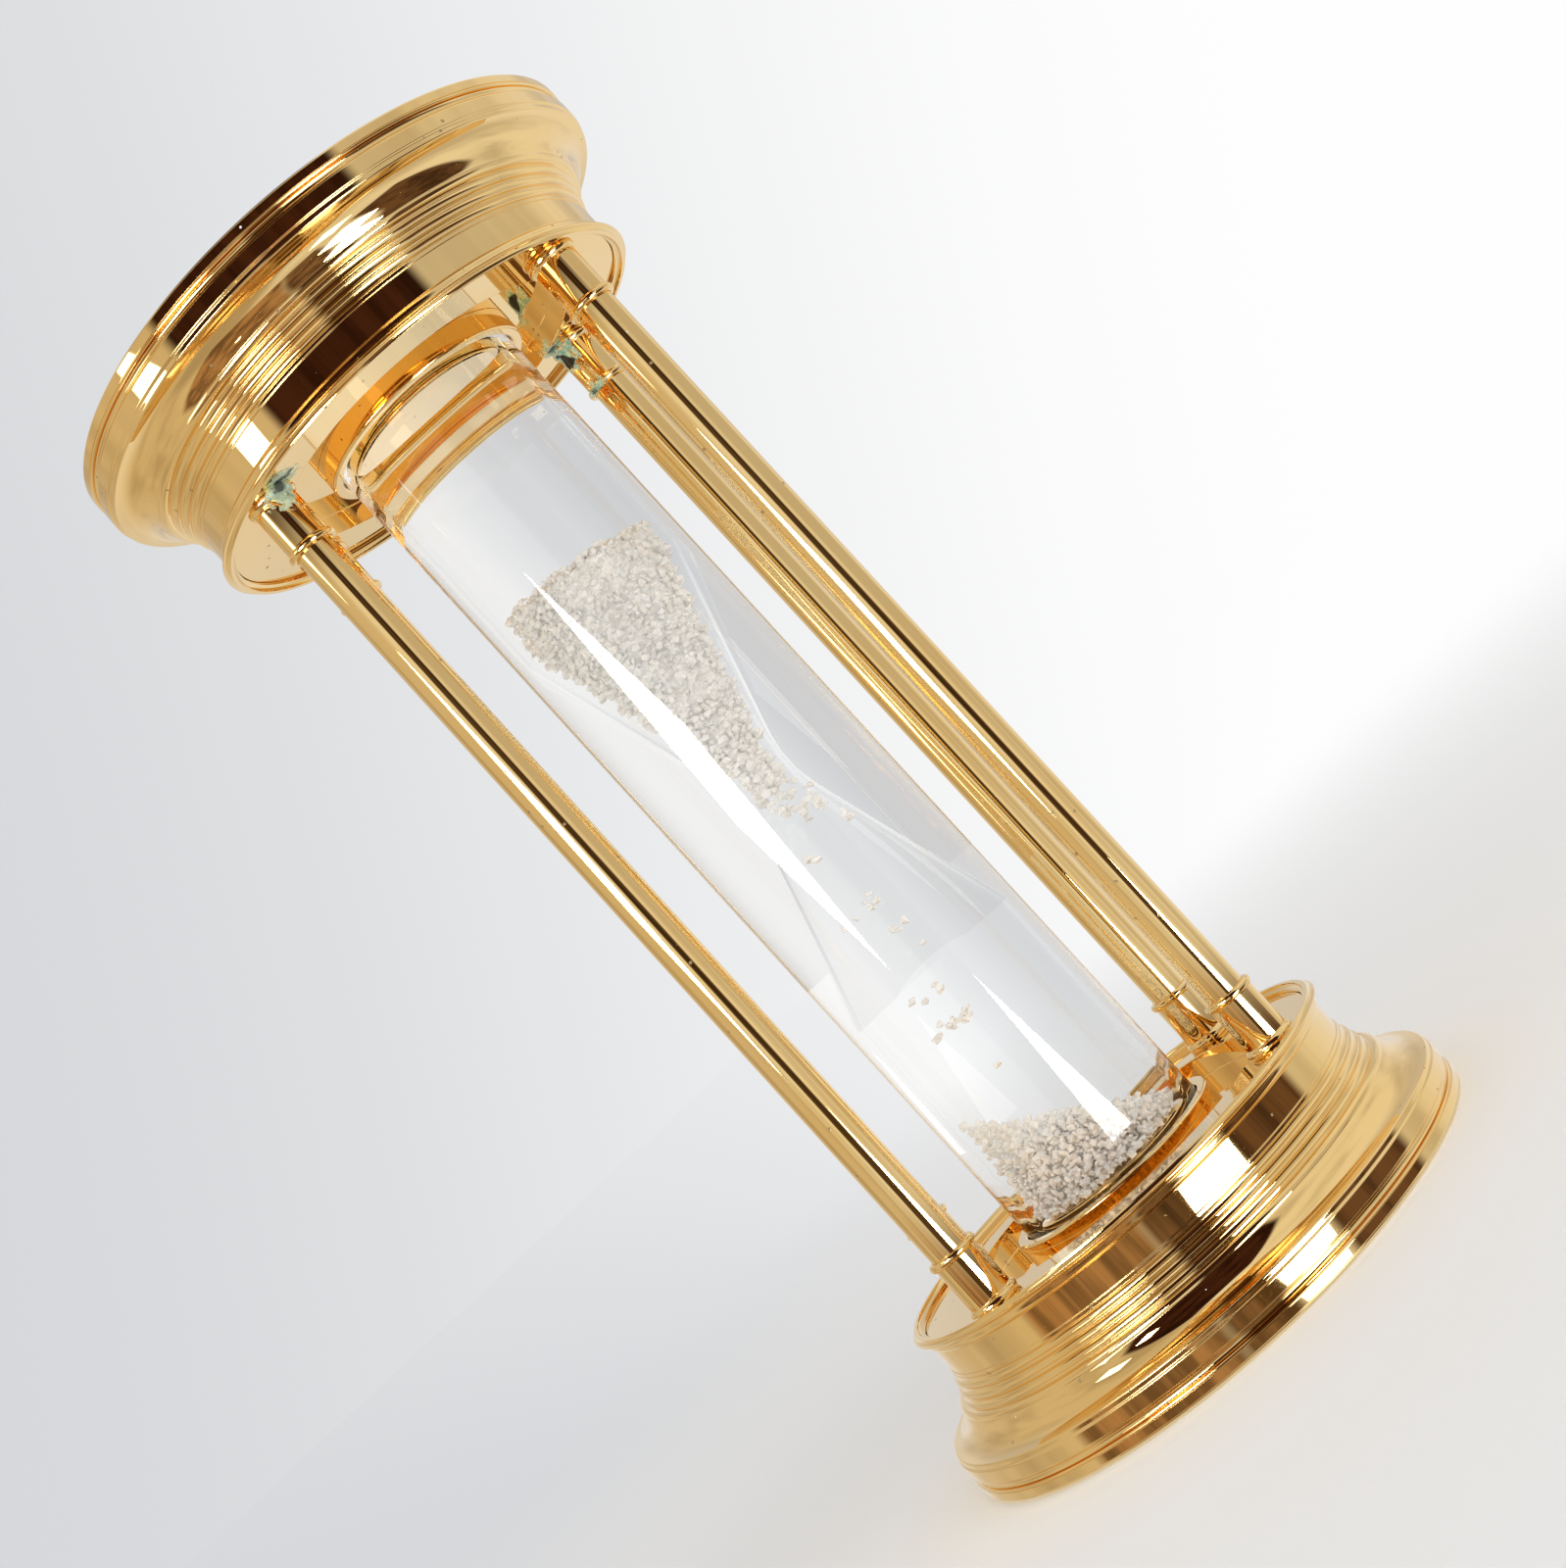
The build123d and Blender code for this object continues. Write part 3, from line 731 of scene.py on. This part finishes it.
def seatOutline(s):
    radius = glassHigh.x + s["margin"]
    floor = s["face"] + s["socketDepth"]
    socket = glassHigh.x + s["clearance"]
    wellFloor = lipPlane - ledge + plateSizes["wellDepth"]
    return depth([
        (0, s["face"]),
        (s["boss"] - s["edge"], s["face"]),
        (s["boss"], s["face"] + s["edge"]),
        (s["boss"], floor),
        (socket, floor),
        (socket, s["face"] + s["edge"]),
        (socket + s["edge"], s["face"]),
        (radius - s["edge"], s["face"]),
        (radius, s["face"] + s["edge"]),
        (radius, wellFloor),
        (s["hub"], wellFloor),
        (s["hub"], s["hubEnd"]),
        (0, s["hubEnd"]),
    ])


plateGold = goldMaterial("pillarPlateGold", fineness=1500.0, hairDepth=0.08, pits=0.08, dust=0.1,
                         blooms=[((-20.6, -20.0, 154.4), 3.2, 0.8), ((20.6, 15.6, 154.4), 2.6, 0.8)])
seatGold = goldMaterial("seatGold", fineness=1500.0, hairDepth=0.1, pits=0.05, dust=0.1)
for end in ends:
    turnEnd(end, "PillarPlate", "pillar_plate", plateOutline(plateSizes), plateGold, plateSizes)
    turnEnd(end, "GlassSeat", "glass_seat", seatOutline(seatSizes), seatGold, seatSizes)
print("plates and seats turned")


pillarSizes = {"radius": 2.75, "bore": 1.53, "boreDepth": 9.0, "tenonStep": 0.55, "tenon": 2.0,
               "segments": 96}
ferruleSizes = {"bore": 2.78, "sleeve": 3.1, "collar": 3.35, "collarBulge": 0.25, "collarHeight": 1.2,
                "cove": 0.15, "bead": 3.25, "beadBulge": 0.3, "beadHeight": 1.0, "height": 8.8,
                "segments": 96}


def pillarOutline(s):
    foot = ledge - s["tenon"]
    top = 2 * middle - foot
    tenon = s["radius"] - s["tenonStep"]
    return [
        (0, foot + s["boreDepth"]),
        (s["bore"], foot + s["boreDepth"]),
        (s["bore"], foot),
        (tenon, foot),
        (tenon, ledge),
        (s["radius"], ledge),
        (s["radius"], 2 * middle - ledge),
        (tenon, 2 * middle - ledge),
        (tenon, top),
        (s["bore"], top),
        (s["bore"], top - s["boreDepth"]),
        (0, top - s["boreDepth"]),
    ]


def ferruleOutline(s):
    top = ledge + s["height"]
    return [
        (s["bore"], ledge),
        (s["collar"], ledge, s["collarBulge"]),
        (s["collar"], ledge + s["collarHeight"]),
        (s["sleeve"], ledge + s["collarHeight"] + s["cove"]),
        (s["sleeve"], top - s["beadHeight"]),
        (s["bead"], top - s["beadHeight"], s["beadBulge"]),
        (s["bead"], top),
        (s["bore"], top),
    ]


bloomBack = [((20.4, 15.6, 152.4), 3.4, 1.0), ((20.8, 14.8, 145.8), 2.7, 0.9)]
bloomFront = [((-21.6, -20.2, 153.7), 3.1, 0.85)]
rodGold = goldMaterial("pillarGold", stretch=(1, 1, 0.04), fineness=5200.0, hairDepth=0.04, pits=0.04)
ferruleGold = goldMaterial("ferruleGold", fineness=1700.0, hairDepth=0.1, pits=0.08,
                           blooms=bloomBack + bloomFront)
for corner in corners:
    spot = pillarPlace(corner)
    place(turn("pillar." + corner, pillarOutline(pillarSizes), rodGold, pillarSizes["segments"], spot,
               edge=0.08), "pillar_" + corner)
    for end in ends:
        place(turn(end + "Ferrule." + corner, ferruleOutline(ferruleSizes), ferruleGold,
                   ferruleSizes["segments"], spot, edge=0.08, upsideDown=end == "upper"),
              end + "_ferrule_" + corner)
print("pillars turned")


glassSizes = {"chamber": 8.9, "neck": 2.9, "cone": 32.5, "neckLength": 9.0, "flare": 0.42, "edge": 0.3,
              "allowance": 0.05, "segments": 256}


def glassOutline(s):
    radius = glassHigh.x
    low, high = glassLow.z, glassHigh.z
    half = s["neckLength"] / 2
    return [
        (s["chamber"], low),
        (radius - s["edge"], low, s["edge"] * easedBulge),
        (radius, low + s["edge"]),
        (radius, high - s["edge"], s["edge"] * easedBulge),
        (radius - s["edge"], high),
        (s["chamber"], high),
        (s["chamber"], middle + s["cone"]),
        (s["neck"] + s["flare"], middle + half, s["flare"]),
        (s["neck"] + s["flare"], middle - half),
        (s["chamber"], middle - s["cone"]),
    ]


# the chamber is full of a clear liquid, so its wall bends light less than the outside does
def wetChamber(body, reach):
    body.data.materials.clear()
    body.data.materials.append(glass)
    body.data.materials.append(wettedGlass)
    for face in body.data.polygons:
        inside = math.hypot(face.center.x, face.center.y) < reach * mm
        face.material_index = 1 if inside else 0


glassBody = turn("glassBody", glassOutline(glassSizes), glass, glassSizes["segments"], edge=0.15)
wetChamber(glassBody, glassSizes["chamber"] + glassSizes["allowance"])
place(glassBody, "glass_body")
print("glass drawn")


# points packed through the inside of a closed piece, drawn back from its skin
def fillNodes(tree, given, voxel):
    filled = tree.nodes.new("GeometryNodeObjectInfo")
    join(tree, given["Filled"], filled.inputs["Object"])
    weld = tree.nodes.new("GeometryNodeMergeByDistance")
    join(tree, filled.outputs["Geometry"], weld.inputs["Geometry"])
    setSocket(weld, "Distance", 1e-6)
    volume = tree.nodes.new("GeometryNodeMeshToVolume")
    volume.resolution_mode = "VOXEL_SIZE"
    setSocket(volume, "Voxel Size", voxel)
    join(tree, weld.outputs[0], volume.inputs["Mesh"])
    return weld, volume


def makeFillTree():
    tree, given, result = newGroup(
        "GeometryNodeTree", "fillWithPoints",
        [("Filled", "Object", None), ("Margin", "Float", 0.0005), ("Depth", "Float", 0.002),
         ("Spacing", "Float", 0.001), ("Jitter", "Float", 0.4), ("Thin Above", "Float", 1.0),
         ("Thin Share", "Float", 0.0), ("Seed", "Int", 1)],
        [("Geometry", "Geometry")],
    )
    nodes = tree.nodes
    weld, volume = fillNodes(tree, given, 0.00025)
    points = nodes.new("GeometryNodeDistributePointsInVolume")
    points.mode = "DENSITY_GRID"
    spacing = nodes.new("ShaderNodeCombineXYZ")
    for i in range(3):
        join(tree, given["Spacing"], spacing.inputs[i])
    join(tree, volume.outputs[0], points.inputs["Volume"])
    join(tree, spacing.outputs[0], points.inputs["Spacing"])
    stray = nodes.new("FunctionNodeRandomValue")
    stray.data_type = "FLOAT_VECTOR"
    stray.inputs[0].default_value, stray.inputs[1].default_value = (-1, -1, -1), (1, 1, 1)
    join(tree, given["Seed"], stray.inputs["Seed"])
    reach = mathNode(tree, "MULTIPLY", given["Jitter"], given["Spacing"])
    shift = nodes.new("GeometryNodeSetPosition")
    join(tree, points.outputs[0], shift.inputs["Geometry"])
    join(tree, vectorNode(tree, "SCALE", stray.outputs[0], scale=reach), shift.inputs["Offset"])
    near = nodes.new("GeometryNodeProximity")
    join(tree, weld.outputs[0], near.inputs["Geometry"])
    close = mathNode(tree, "LESS_THAN", near.outputs["Distance"], given["Margin"])
    buried = mathNode(tree, "GREATER_THAN", near.outputs["Distance"], given["Depth"])
    close = mathNode(tree, "MAXIMUM", close, buried)
    height = nodes.new("ShaderNodeSeparateXYZ")
    join(tree, nodes.new("GeometryNodeInputPosition").outputs[0], height.inputs[0])
    high = mathNode(tree, "GREATER_THAN", height.outputs[2], given["Thin Above"])
    chance = nodes.new("FunctionNodeRandomValue")
    chance.data_type = "FLOAT"
    join(tree, mathNode(tree, "ADD", given["Seed"], 7), chance.inputs["Seed"])
    unlucky = mathNode(tree, "LESS_THAN", chance.outputs[1], given["Thin Share"])
    close = mathNode(tree, "MAXIMUM", close, mathNode(tree, "MULTIPLY", high, unlucky))
    drop = nodes.new("GeometryNodeDeleteGeometry")
    join(tree, shift.outputs[0], drop.inputs["Geometry"])
    join(tree, close, drop.inputs["Selection"])
    solid = nodes.new("GeometryNodePointsToVertices")
    join(tree, drop.outputs[0], solid.inputs["Points"])
    join(tree, solid.outputs[0], result[0])
    return tree


# a smooth solid drawn in from the skin of a closed piece
def makeCoreTree():
    tree, given, result = newGroup(
        "GeometryNodeTree", "packedCore",
        [("Filled", "Object", None), ("Depth", "Float", 0.002), ("Finish", "Material", None)],
        [("Geometry", "Geometry")],
    )
    nodes = tree.nodes
    volume = fillNodes(tree, given, 0.0003)[1]
    join(tree, mathNode(tree, "MULTIPLY", given["Depth"], 2.0), volume.inputs["Interior Band Width"])
    skin = nodes.new("GeometryNodeVolumeToMesh")
    skin.resolution_mode = "VOXEL_SIZE"
    setSocket(skin, "Voxel Size", 0.0005)
    setSocket(skin, "Threshold", 0.5)
    join(tree, volume.outputs[0], skin.inputs["Volume"])
    smooth = nodes.new("GeometryNodeSetShadeSmooth")
    join(tree, skin.outputs[0], smooth.inputs[0])
    finishTree(tree, smooth.outputs[0], given["Finish"], result)
    return tree


# a broken, angular chip on every point, no two alike
def makeChipTree():
    tree, given, result = newGroup(
        "GeometryNodeTree", "crystalChip",
        [("Geometry", "Geometry", None), ("Smallest", "Float", 0.0004), ("Largest", "Float", 0.0008),
         ("Roughness", "Float", 0.3), ("Seed", "Int", 1), ("Finish", "Material", None)],
        [("Geometry", "Geometry")],
    )
    nodes = tree.nodes

    def randomNode(kind, low, high, offset):
        node = nodes.new("FunctionNodeRandomValue")
        node.data_type = kind
        base = 0 if kind == "FLOAT_VECTOR" else 2
        node.inputs[base].default_value, node.inputs[base + 1].default_value = low, high
        join(tree, mathNode(tree, "ADD", given["Seed"], offset), node.inputs["Seed"])
        return node.outputs[0 if kind == "FLOAT_VECTOR" else 1]

    chip = nodes.new("GeometryNodeMeshIcoSphere")
    setSocket(chip, "Radius", 1.0)
    setSocket(chip, "Subdivisions", 1)
    scatter = nodes.new("GeometryNodeInstanceOnPoints")
    join(tree, given["Geometry"], scatter.inputs["Points"])
    join(tree, chip.outputs["Mesh"], scatter.inputs["Instance"])
    join(tree, randomNode("FLOAT_VECTOR", (0, 0, 0), (6.28, 6.28, 6.28), 1), scatter.inputs["Rotation"])
    blend = randomNode("FLOAT", 0.0, 1.0, 2)
    size = rampNode(tree, blend, 0.0, 1.0, given["Smallest"], given["Largest"])
    stretch = randomNode("FLOAT_VECTOR", (0.7, 0.55, 0.5), (1.25, 1.0, 0.95), 3)
    join(tree, vectorNode(tree, "SCALE", stretch, scale=size), scatter.inputs["Scale"])
    chips = scatter.outputs[0]
    for label, value in (("shade", randomNode("FLOAT", 0.0, 1.0, 4)), ("chipSize", size)):
        own = nodes.new("GeometryNodeStoreNamedAttribute")
        own.data_type, own.domain = "FLOAT", "INSTANCE"
        setSocket(own, "Name", label)
        join(tree, chips, own.inputs["Geometry"])
        join(tree, value, own.inputs["Value"])
        chips = own.outputs[0]
    real = nodes.new("GeometryNodeRealizeInstances")
    join(tree, chips, real.inputs["Geometry"])
    wide = nodes.new("GeometryNodeInputNamedAttribute")
    wide.data_type = "FLOAT"
    setSocket(wide, "Name", "chipSize")
    breakUp = vectorNode(tree, "SCALE", randomNode("FLOAT_VECTOR", (-1, -1, -1), (1, 1, 1), 5),
                         scale=mathNode(tree, "MULTIPLY", wide.outputs[0], given["Roughness"]))
    crack = nodes.new("GeometryNodeSetPosition")
    join(tree, real.outputs[0], crack.inputs["Geometry"])
    join(tree, breakUp, crack.inputs["Offset"])
    finishTree(tree, crack.outputs[0], given["Finish"], result)
    return tree


fillTree = makeFillTree()
coreTree = makeCoreTree()
chipTree = makeChipTree()
chargeSizes = {"margin": 0.34, "depth": 2.1, "coreDepth": 1.7, "spacing": 0.74, "jitter": 0.44,
               "smallest": 0.3, "largest": 0.62, "roughness": 0.3, "thinAbove": 200.0, "thinShare": 0.0}
heapSizes = dict(chargeSizes, depth=3.6, coreDepth=3.0, thinAbove=30.0, thinShare=0.66)


def growChips(name, s, seed, spots):
    return grow(name, chipTree, {
        "Smallest": s["smallest"] * mm, "Largest": s["largest"] * mm, "Roughness": s["roughness"],
        "Seed": seed, "Finish": crystal,
    }, spots)


def fillWithChips(name, node, s, seed):
    points = grow(name + "Points", fillTree, {
        "Filled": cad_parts[node], "Margin": s["margin"] * mm, "Depth": s["depth"] * mm,
        "Spacing": s["spacing"] * mm, "Jitter": s["jitter"], "Thin Above": s["thinAbove"] * mm,
        "Thin Share": s["thinShare"], "Seed": seed,
    })
    chips = growChips(name, s, seed + 10, points.data)
    bpy.data.objects.remove(points)
    core = grow(name + "Core", coreTree, {
        "Filled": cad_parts[node], "Depth": s["coreDepth"] * mm, "Finish": packed,
    })
    print(name, len(chips.data.polygons), "faces,", len(core.data.polygons), "in the core")
    place(chips, node)
    place(core, node)


fillWithChips("upperCrystals", "upper_crystals", chargeSizes, 3)
fillWithChips("lowerCrystals", "lower_crystals", heapSizes, 5)

# chips that sink or cling below the neck: (height, sideways, back, spread, rise, count)
looseChips = {
    "smallest": 0.4, "largest": 0.75, "roughness": 0.32, "seed": 31,
    "clusters": [
        (84.4, 0.3, -0.4, 1.7, 0.9, 14), (82.4, 0.8, -0.4, 1.9, 0.9, 10), (80.4, 1.5, -0.6, 1.4, 0.6, 5),
        (81.5, 2.7, 0.2, 0.3, 1.8, 4), (77.6, 3.3, -0.2, 0.4, 1.6, 4), (75.7, -1.6, -0.8, 0.6, 0.4, 3),
        (66.8, -1.2, -0.8, 2.8, 1.1, 6), (62.0, 0.6, -0.8, 1.2, 0.6, 3), (58.0, 0.8, -0.6, 0.1, 0.1, 1),
        (52.7, -1.9, -1.0, 2.4, 0.7, 5), (47.3, -3.6, -1.2, 3.3, 1.6, 9), (40.0, -1.8, -1.0, 0.1, 0.1, 1),
    ],
}


def scatterLoose(s):
    dice = random.Random(11)
    spots = []
    for height, sideways, back, spread, rise, count in s["clusters"]:
        for i in range(count):
            spots.append((
                (sideways + dice.uniform(-spread, spread)) * mm,
                (back + dice.uniform(-1.0, 1.0)) * mm,
                (height + dice.uniform(-rise, rise)) * mm,
            ))
    mesh = bpy.data.meshes.new("looseSpots")
    mesh.from_pydata(spots, [], [])
    place(growChips("looseCrystals", s, s["seed"], mesh), "crystal_stream")


scatterLoose(looseChips)
print("crystals scattered")


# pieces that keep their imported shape
plainFinishes = {"screw": steel, "washer": steel, "seal": silicone}
for node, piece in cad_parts.items():
    for word, finish in plainFinishes.items():
        if word in node:
            piece.data.materials.clear()
            piece.data.materials.append(finish)


feltSizes = {"edge": 0.35, "lift": 0.12, "segments": 128}
feltLow, feltHigh = edges("lower_felt_pad")


def feltOutline(s):
    radius, face = feltHigh.x, feltLow.z + s["lift"]
    return [
        (0, face),
        (radius - s["edge"], face, s["edge"] * easedBulge),
        (radius, face + s["edge"]),
        (radius, feltHigh.z),
        (0, feltHigh.z),
    ]


for end in ends:
    pad = turnEnd(end, "FeltPad", "felt_pad", feltOutline(feltSizes), felt, feltSizes)


studio = {
    "floorRadius": 3.0,        # metres
    "floorDrop": 0.00005,
    "floorSides": 96,
    "floorColour": (0.46, 0.465, 0.47),
    "dimSide": (0.68, 0.69, 0.71),
    "brightSide": (0.99, 0.99, 0.99),
    "lighting": (1.45, 1.43, 1.41),
    "throughGlass": 0.93,
}


# pale seamless paper with a painted light fall-off: greyer towards one side and near white towards the other
def backdropLightFalloff(tree, direction):
    across = vectorNode(tree, "DOT_PRODUCT", direction, cameraRight)
    rise = vectorNode(tree, "DOT_PRODUCT", direction, cameraUp)
    across = mathNode(tree, "MULTIPLY_ADD", rise, 0.25, across)
    return mixColour(tree, rampNode(tree, across, -0.42, 0.30), studio["dimSide"], studio["brightSide"])


def makeFloor(s):
    mesh = bpy.data.meshes.new("floor")
    angles = [2 * math.pi * i / s["floorSides"] for i in range(s["floorSides"])]
    ring = [(s["floorRadius"] * math.cos(a), s["floorRadius"] * math.sin(a), -s["floorDrop"]) for a in angles]
    mesh.from_pydata(ring, [], [list(range(s["floorSides"]))])
    floor = newObject("floor", mesh)
    floor.visible_glossy = False
    material, tree, shader, position = newMaterial("paleFloor")
    setSocket(shader, "Base Color", (*s["floorColour"], 1.0))
    setSocket(shader, "Roughness", 0.8)
    # painted light: away from the middle the floor glows with the backdrop's painted fall-off instead of
    # being lit
    glow = tree.nodes.new("ShaderNodeEmission")
    join(tree, backdropLightFalloff(tree, vectorNode(tree, "NORMALIZE", position)), glow.inputs["Color"])
    mix = tree.nodes.new("ShaderNodeMixShader")  # the floor runs into the backdrop with distance
    join(tree, rampNode(tree, vectorNode(tree, "LENGTH", position), 0.08, 0.5), mix.inputs[0])
    join(tree, shader.outputs[0], mix.inputs[1])
    join(tree, glow.outputs[0], mix.inputs[2])
    join(tree, mix.outputs[0], tree.nodes["Material Output"].inputs["Surface"])
    mesh.materials.append(material)


makeFloor(studio)

# what the metal mirrors: azimuth from the front, elevation (both as low, high in degrees), colour
roomPatches = [
    ((-82, -14), (-62, -8.5), (0.36, 0.215, 0.12)),
    ((-14, 12), (-62, -8.5), (0.21, 0.125, 0.075)),
    ((38, 84), (-62, -8.5), (0.12, 0.066, 0.040)),
    ((-10, 20), (-12, 20), (0.08, 0.048, 0.026)),
    ((-58, 33), (16.5, 78), (0.045, 0.016, 0.010)),
]


# pale seamless room; what the metal mirrors is pale too, with dark zones round the camera
def makeWorld(s):
    world = bpy.data.worlds.new("studioRoom")
    scene.world = world
    world.use_nodes = True
    tree = world.node_tree
    background = tree.nodes["Background"]
    direction = tree.nodes.new("ShaderNodeTexCoord").outputs["Generated"]
    parts = tree.nodes.new("ShaderNodeSeparateXYZ")
    join(tree, direction, parts.inputs[0])
    away = mathNode(tree, "MULTIPLY", parts.outputs[1], -1.0)
    azimuth = mathNode(tree, "DEGREES", mathNode(tree, "ARCTAN2", parts.outputs[0], away))
    elevation = mathNode(tree, "DEGREES", mathNode(tree, "ARCSINE", parts.outputs[2]))

    def window(value, low, high, soft):
        opening = rampNode(tree, value, low - soft, low + soft)
        closing = rampNode(tree, value, high - soft, high + soft, 1.0, 0.0)
        return mathNode(tree, "MULTIPLY", opening, closing)

    mirrored = mixColour(tree, rampNode(tree, noiseNode(tree, direction, 1.6, 3.0), 0.38, 0.68),
                         (0.86, 0.85, 0.84), (0.58, 0.55, 0.52))
    leftShade = mixColour(tree, window(azimuth, -162, -40, 16.0), (1.0, 1.0, 1.0), (0.78, 0.70, 0.57))
    mirrored = mixColour(tree, 1.0, mirrored, leftShade, "MULTIPLY")
    blotches = rampNode(tree, noiseNode(tree, direction, 5.0, 4.0, 0.6), 0.35, 0.65)
    for across, rise, colour in roomPatches:
        cover = mathNode(tree, "MULTIPLY", window(azimuth, *across, 3.5), window(elevation, *rise, 2.0))
        shade = mixColour(tree, blotches, [c * 0.45 for c in colour], [c * 1.25 for c in colour])
        mirrored = mixColour(tree, cover, mirrored, shade)
    rays = tree.nodes.new("ShaderNodeLightPath")
    paper = backdropLightFalloff(tree, direction)
    seenThrough = vectorNode(tree, "SCALE", paper, scale=s["throughGlass"])
    front = rampNode(tree, vectorNode(tree, "DOT_PRODUCT", direction, cameraBack), -0.45, -0.15)
    seenThrough = mixColour(tree, front, seenThrough, mirrored)
    colour = mixColour(tree, rays.outputs["Is Glossy Ray"], paper, mirrored)
    colour = mixColour(tree, rays.outputs["Is Transmission Ray"], colour, seenThrough)
    lit = mathNode(tree, "GREATER_THAN", rays.outputs["Diffuse Depth"], 0.5)
    colour = mixColour(tree, lit, colour, s["lighting"])
    join(tree, colour, background.inputs["Color"])
    setSocket(background, "Strength", 1.0)


makeWorld(studio)


# soft panels round the camera: (right, up, back of the middle in mm; width, height; brightness)
panels = {
    "keyRight": ((149, -5, 220), (100, 95), 16.0),
    "lowRight": ((166, -92, 109), (60, 50), 4.0),
    "keyLeft": ((-113, -62, 175), (80, 90), 16.0),
    "farLeft": ((-234, -29, 85), (50, 60), 4.0),
}


def makePanel(name, at, size, strength):
    heart = Vector((0, 0, middle))
    where = heart + cameraRight * at[0] + cameraUp * at[1] + cameraBack * at[2]
    aim = (heart - where).normalized()
    across = aim.cross(cameraUp).normalized()
    tall = across.cross(aim)
    mesh = bpy.data.meshes.new(name)
    signs = [(-1, -1), (1, -1), (1, 1), (-1, 1)]
    mesh.from_pydata([(where + across * size[0] / 2 * u + tall * size[1] / 2 * v) * mm for u, v in signs],
                     [], [(0, 1, 2, 3)])
    panel = newObject(name, mesh)
    panel.visible_camera = False
    panel.visible_diffuse = False
    panel.visible_shadow = False
    material = bpy.data.materials.new(name)
    material.use_nodes = True
    tree = material.node_tree
    glow = tree.nodes.new("ShaderNodeEmission")
    setSocket(glow, "Color", (1.0, 0.99, 0.97, 1.0))
    setSocket(glow, "Strength", strength)
    join(tree, glow.outputs[0], tree.nodes["Material Output"].inputs["Surface"])
    material.cycles.emission_sampling = "NONE"
    mesh.materials.append(material)


for name, (at, size, strength) in panels.items():
    makePanel(name, at, size, strength)


# one broad overhead lamp for the floor and the crystals
overhead = {"size": 0.5, "power": 2.5, "at": (0.25, -0.35, 0.75)}


def makeOverhead(s):
    data = bpy.data.lights.new("overhead", "AREA")
    data.shape, data.energy = "SQUARE", s["power"]
    data.size = s["size"]
    lamp = newObject("overhead", data)
    lamp.location = s["at"]
    aim = Vector((0, 0, middle * mm)) - lamp.location
    lamp.rotation_euler = aim.to_track_quat("-Z", "Y").to_euler()
    lamp.visible_glossy = False
    lamp.visible_transmission = False


makeOverhead(overhead)
print("studio set")
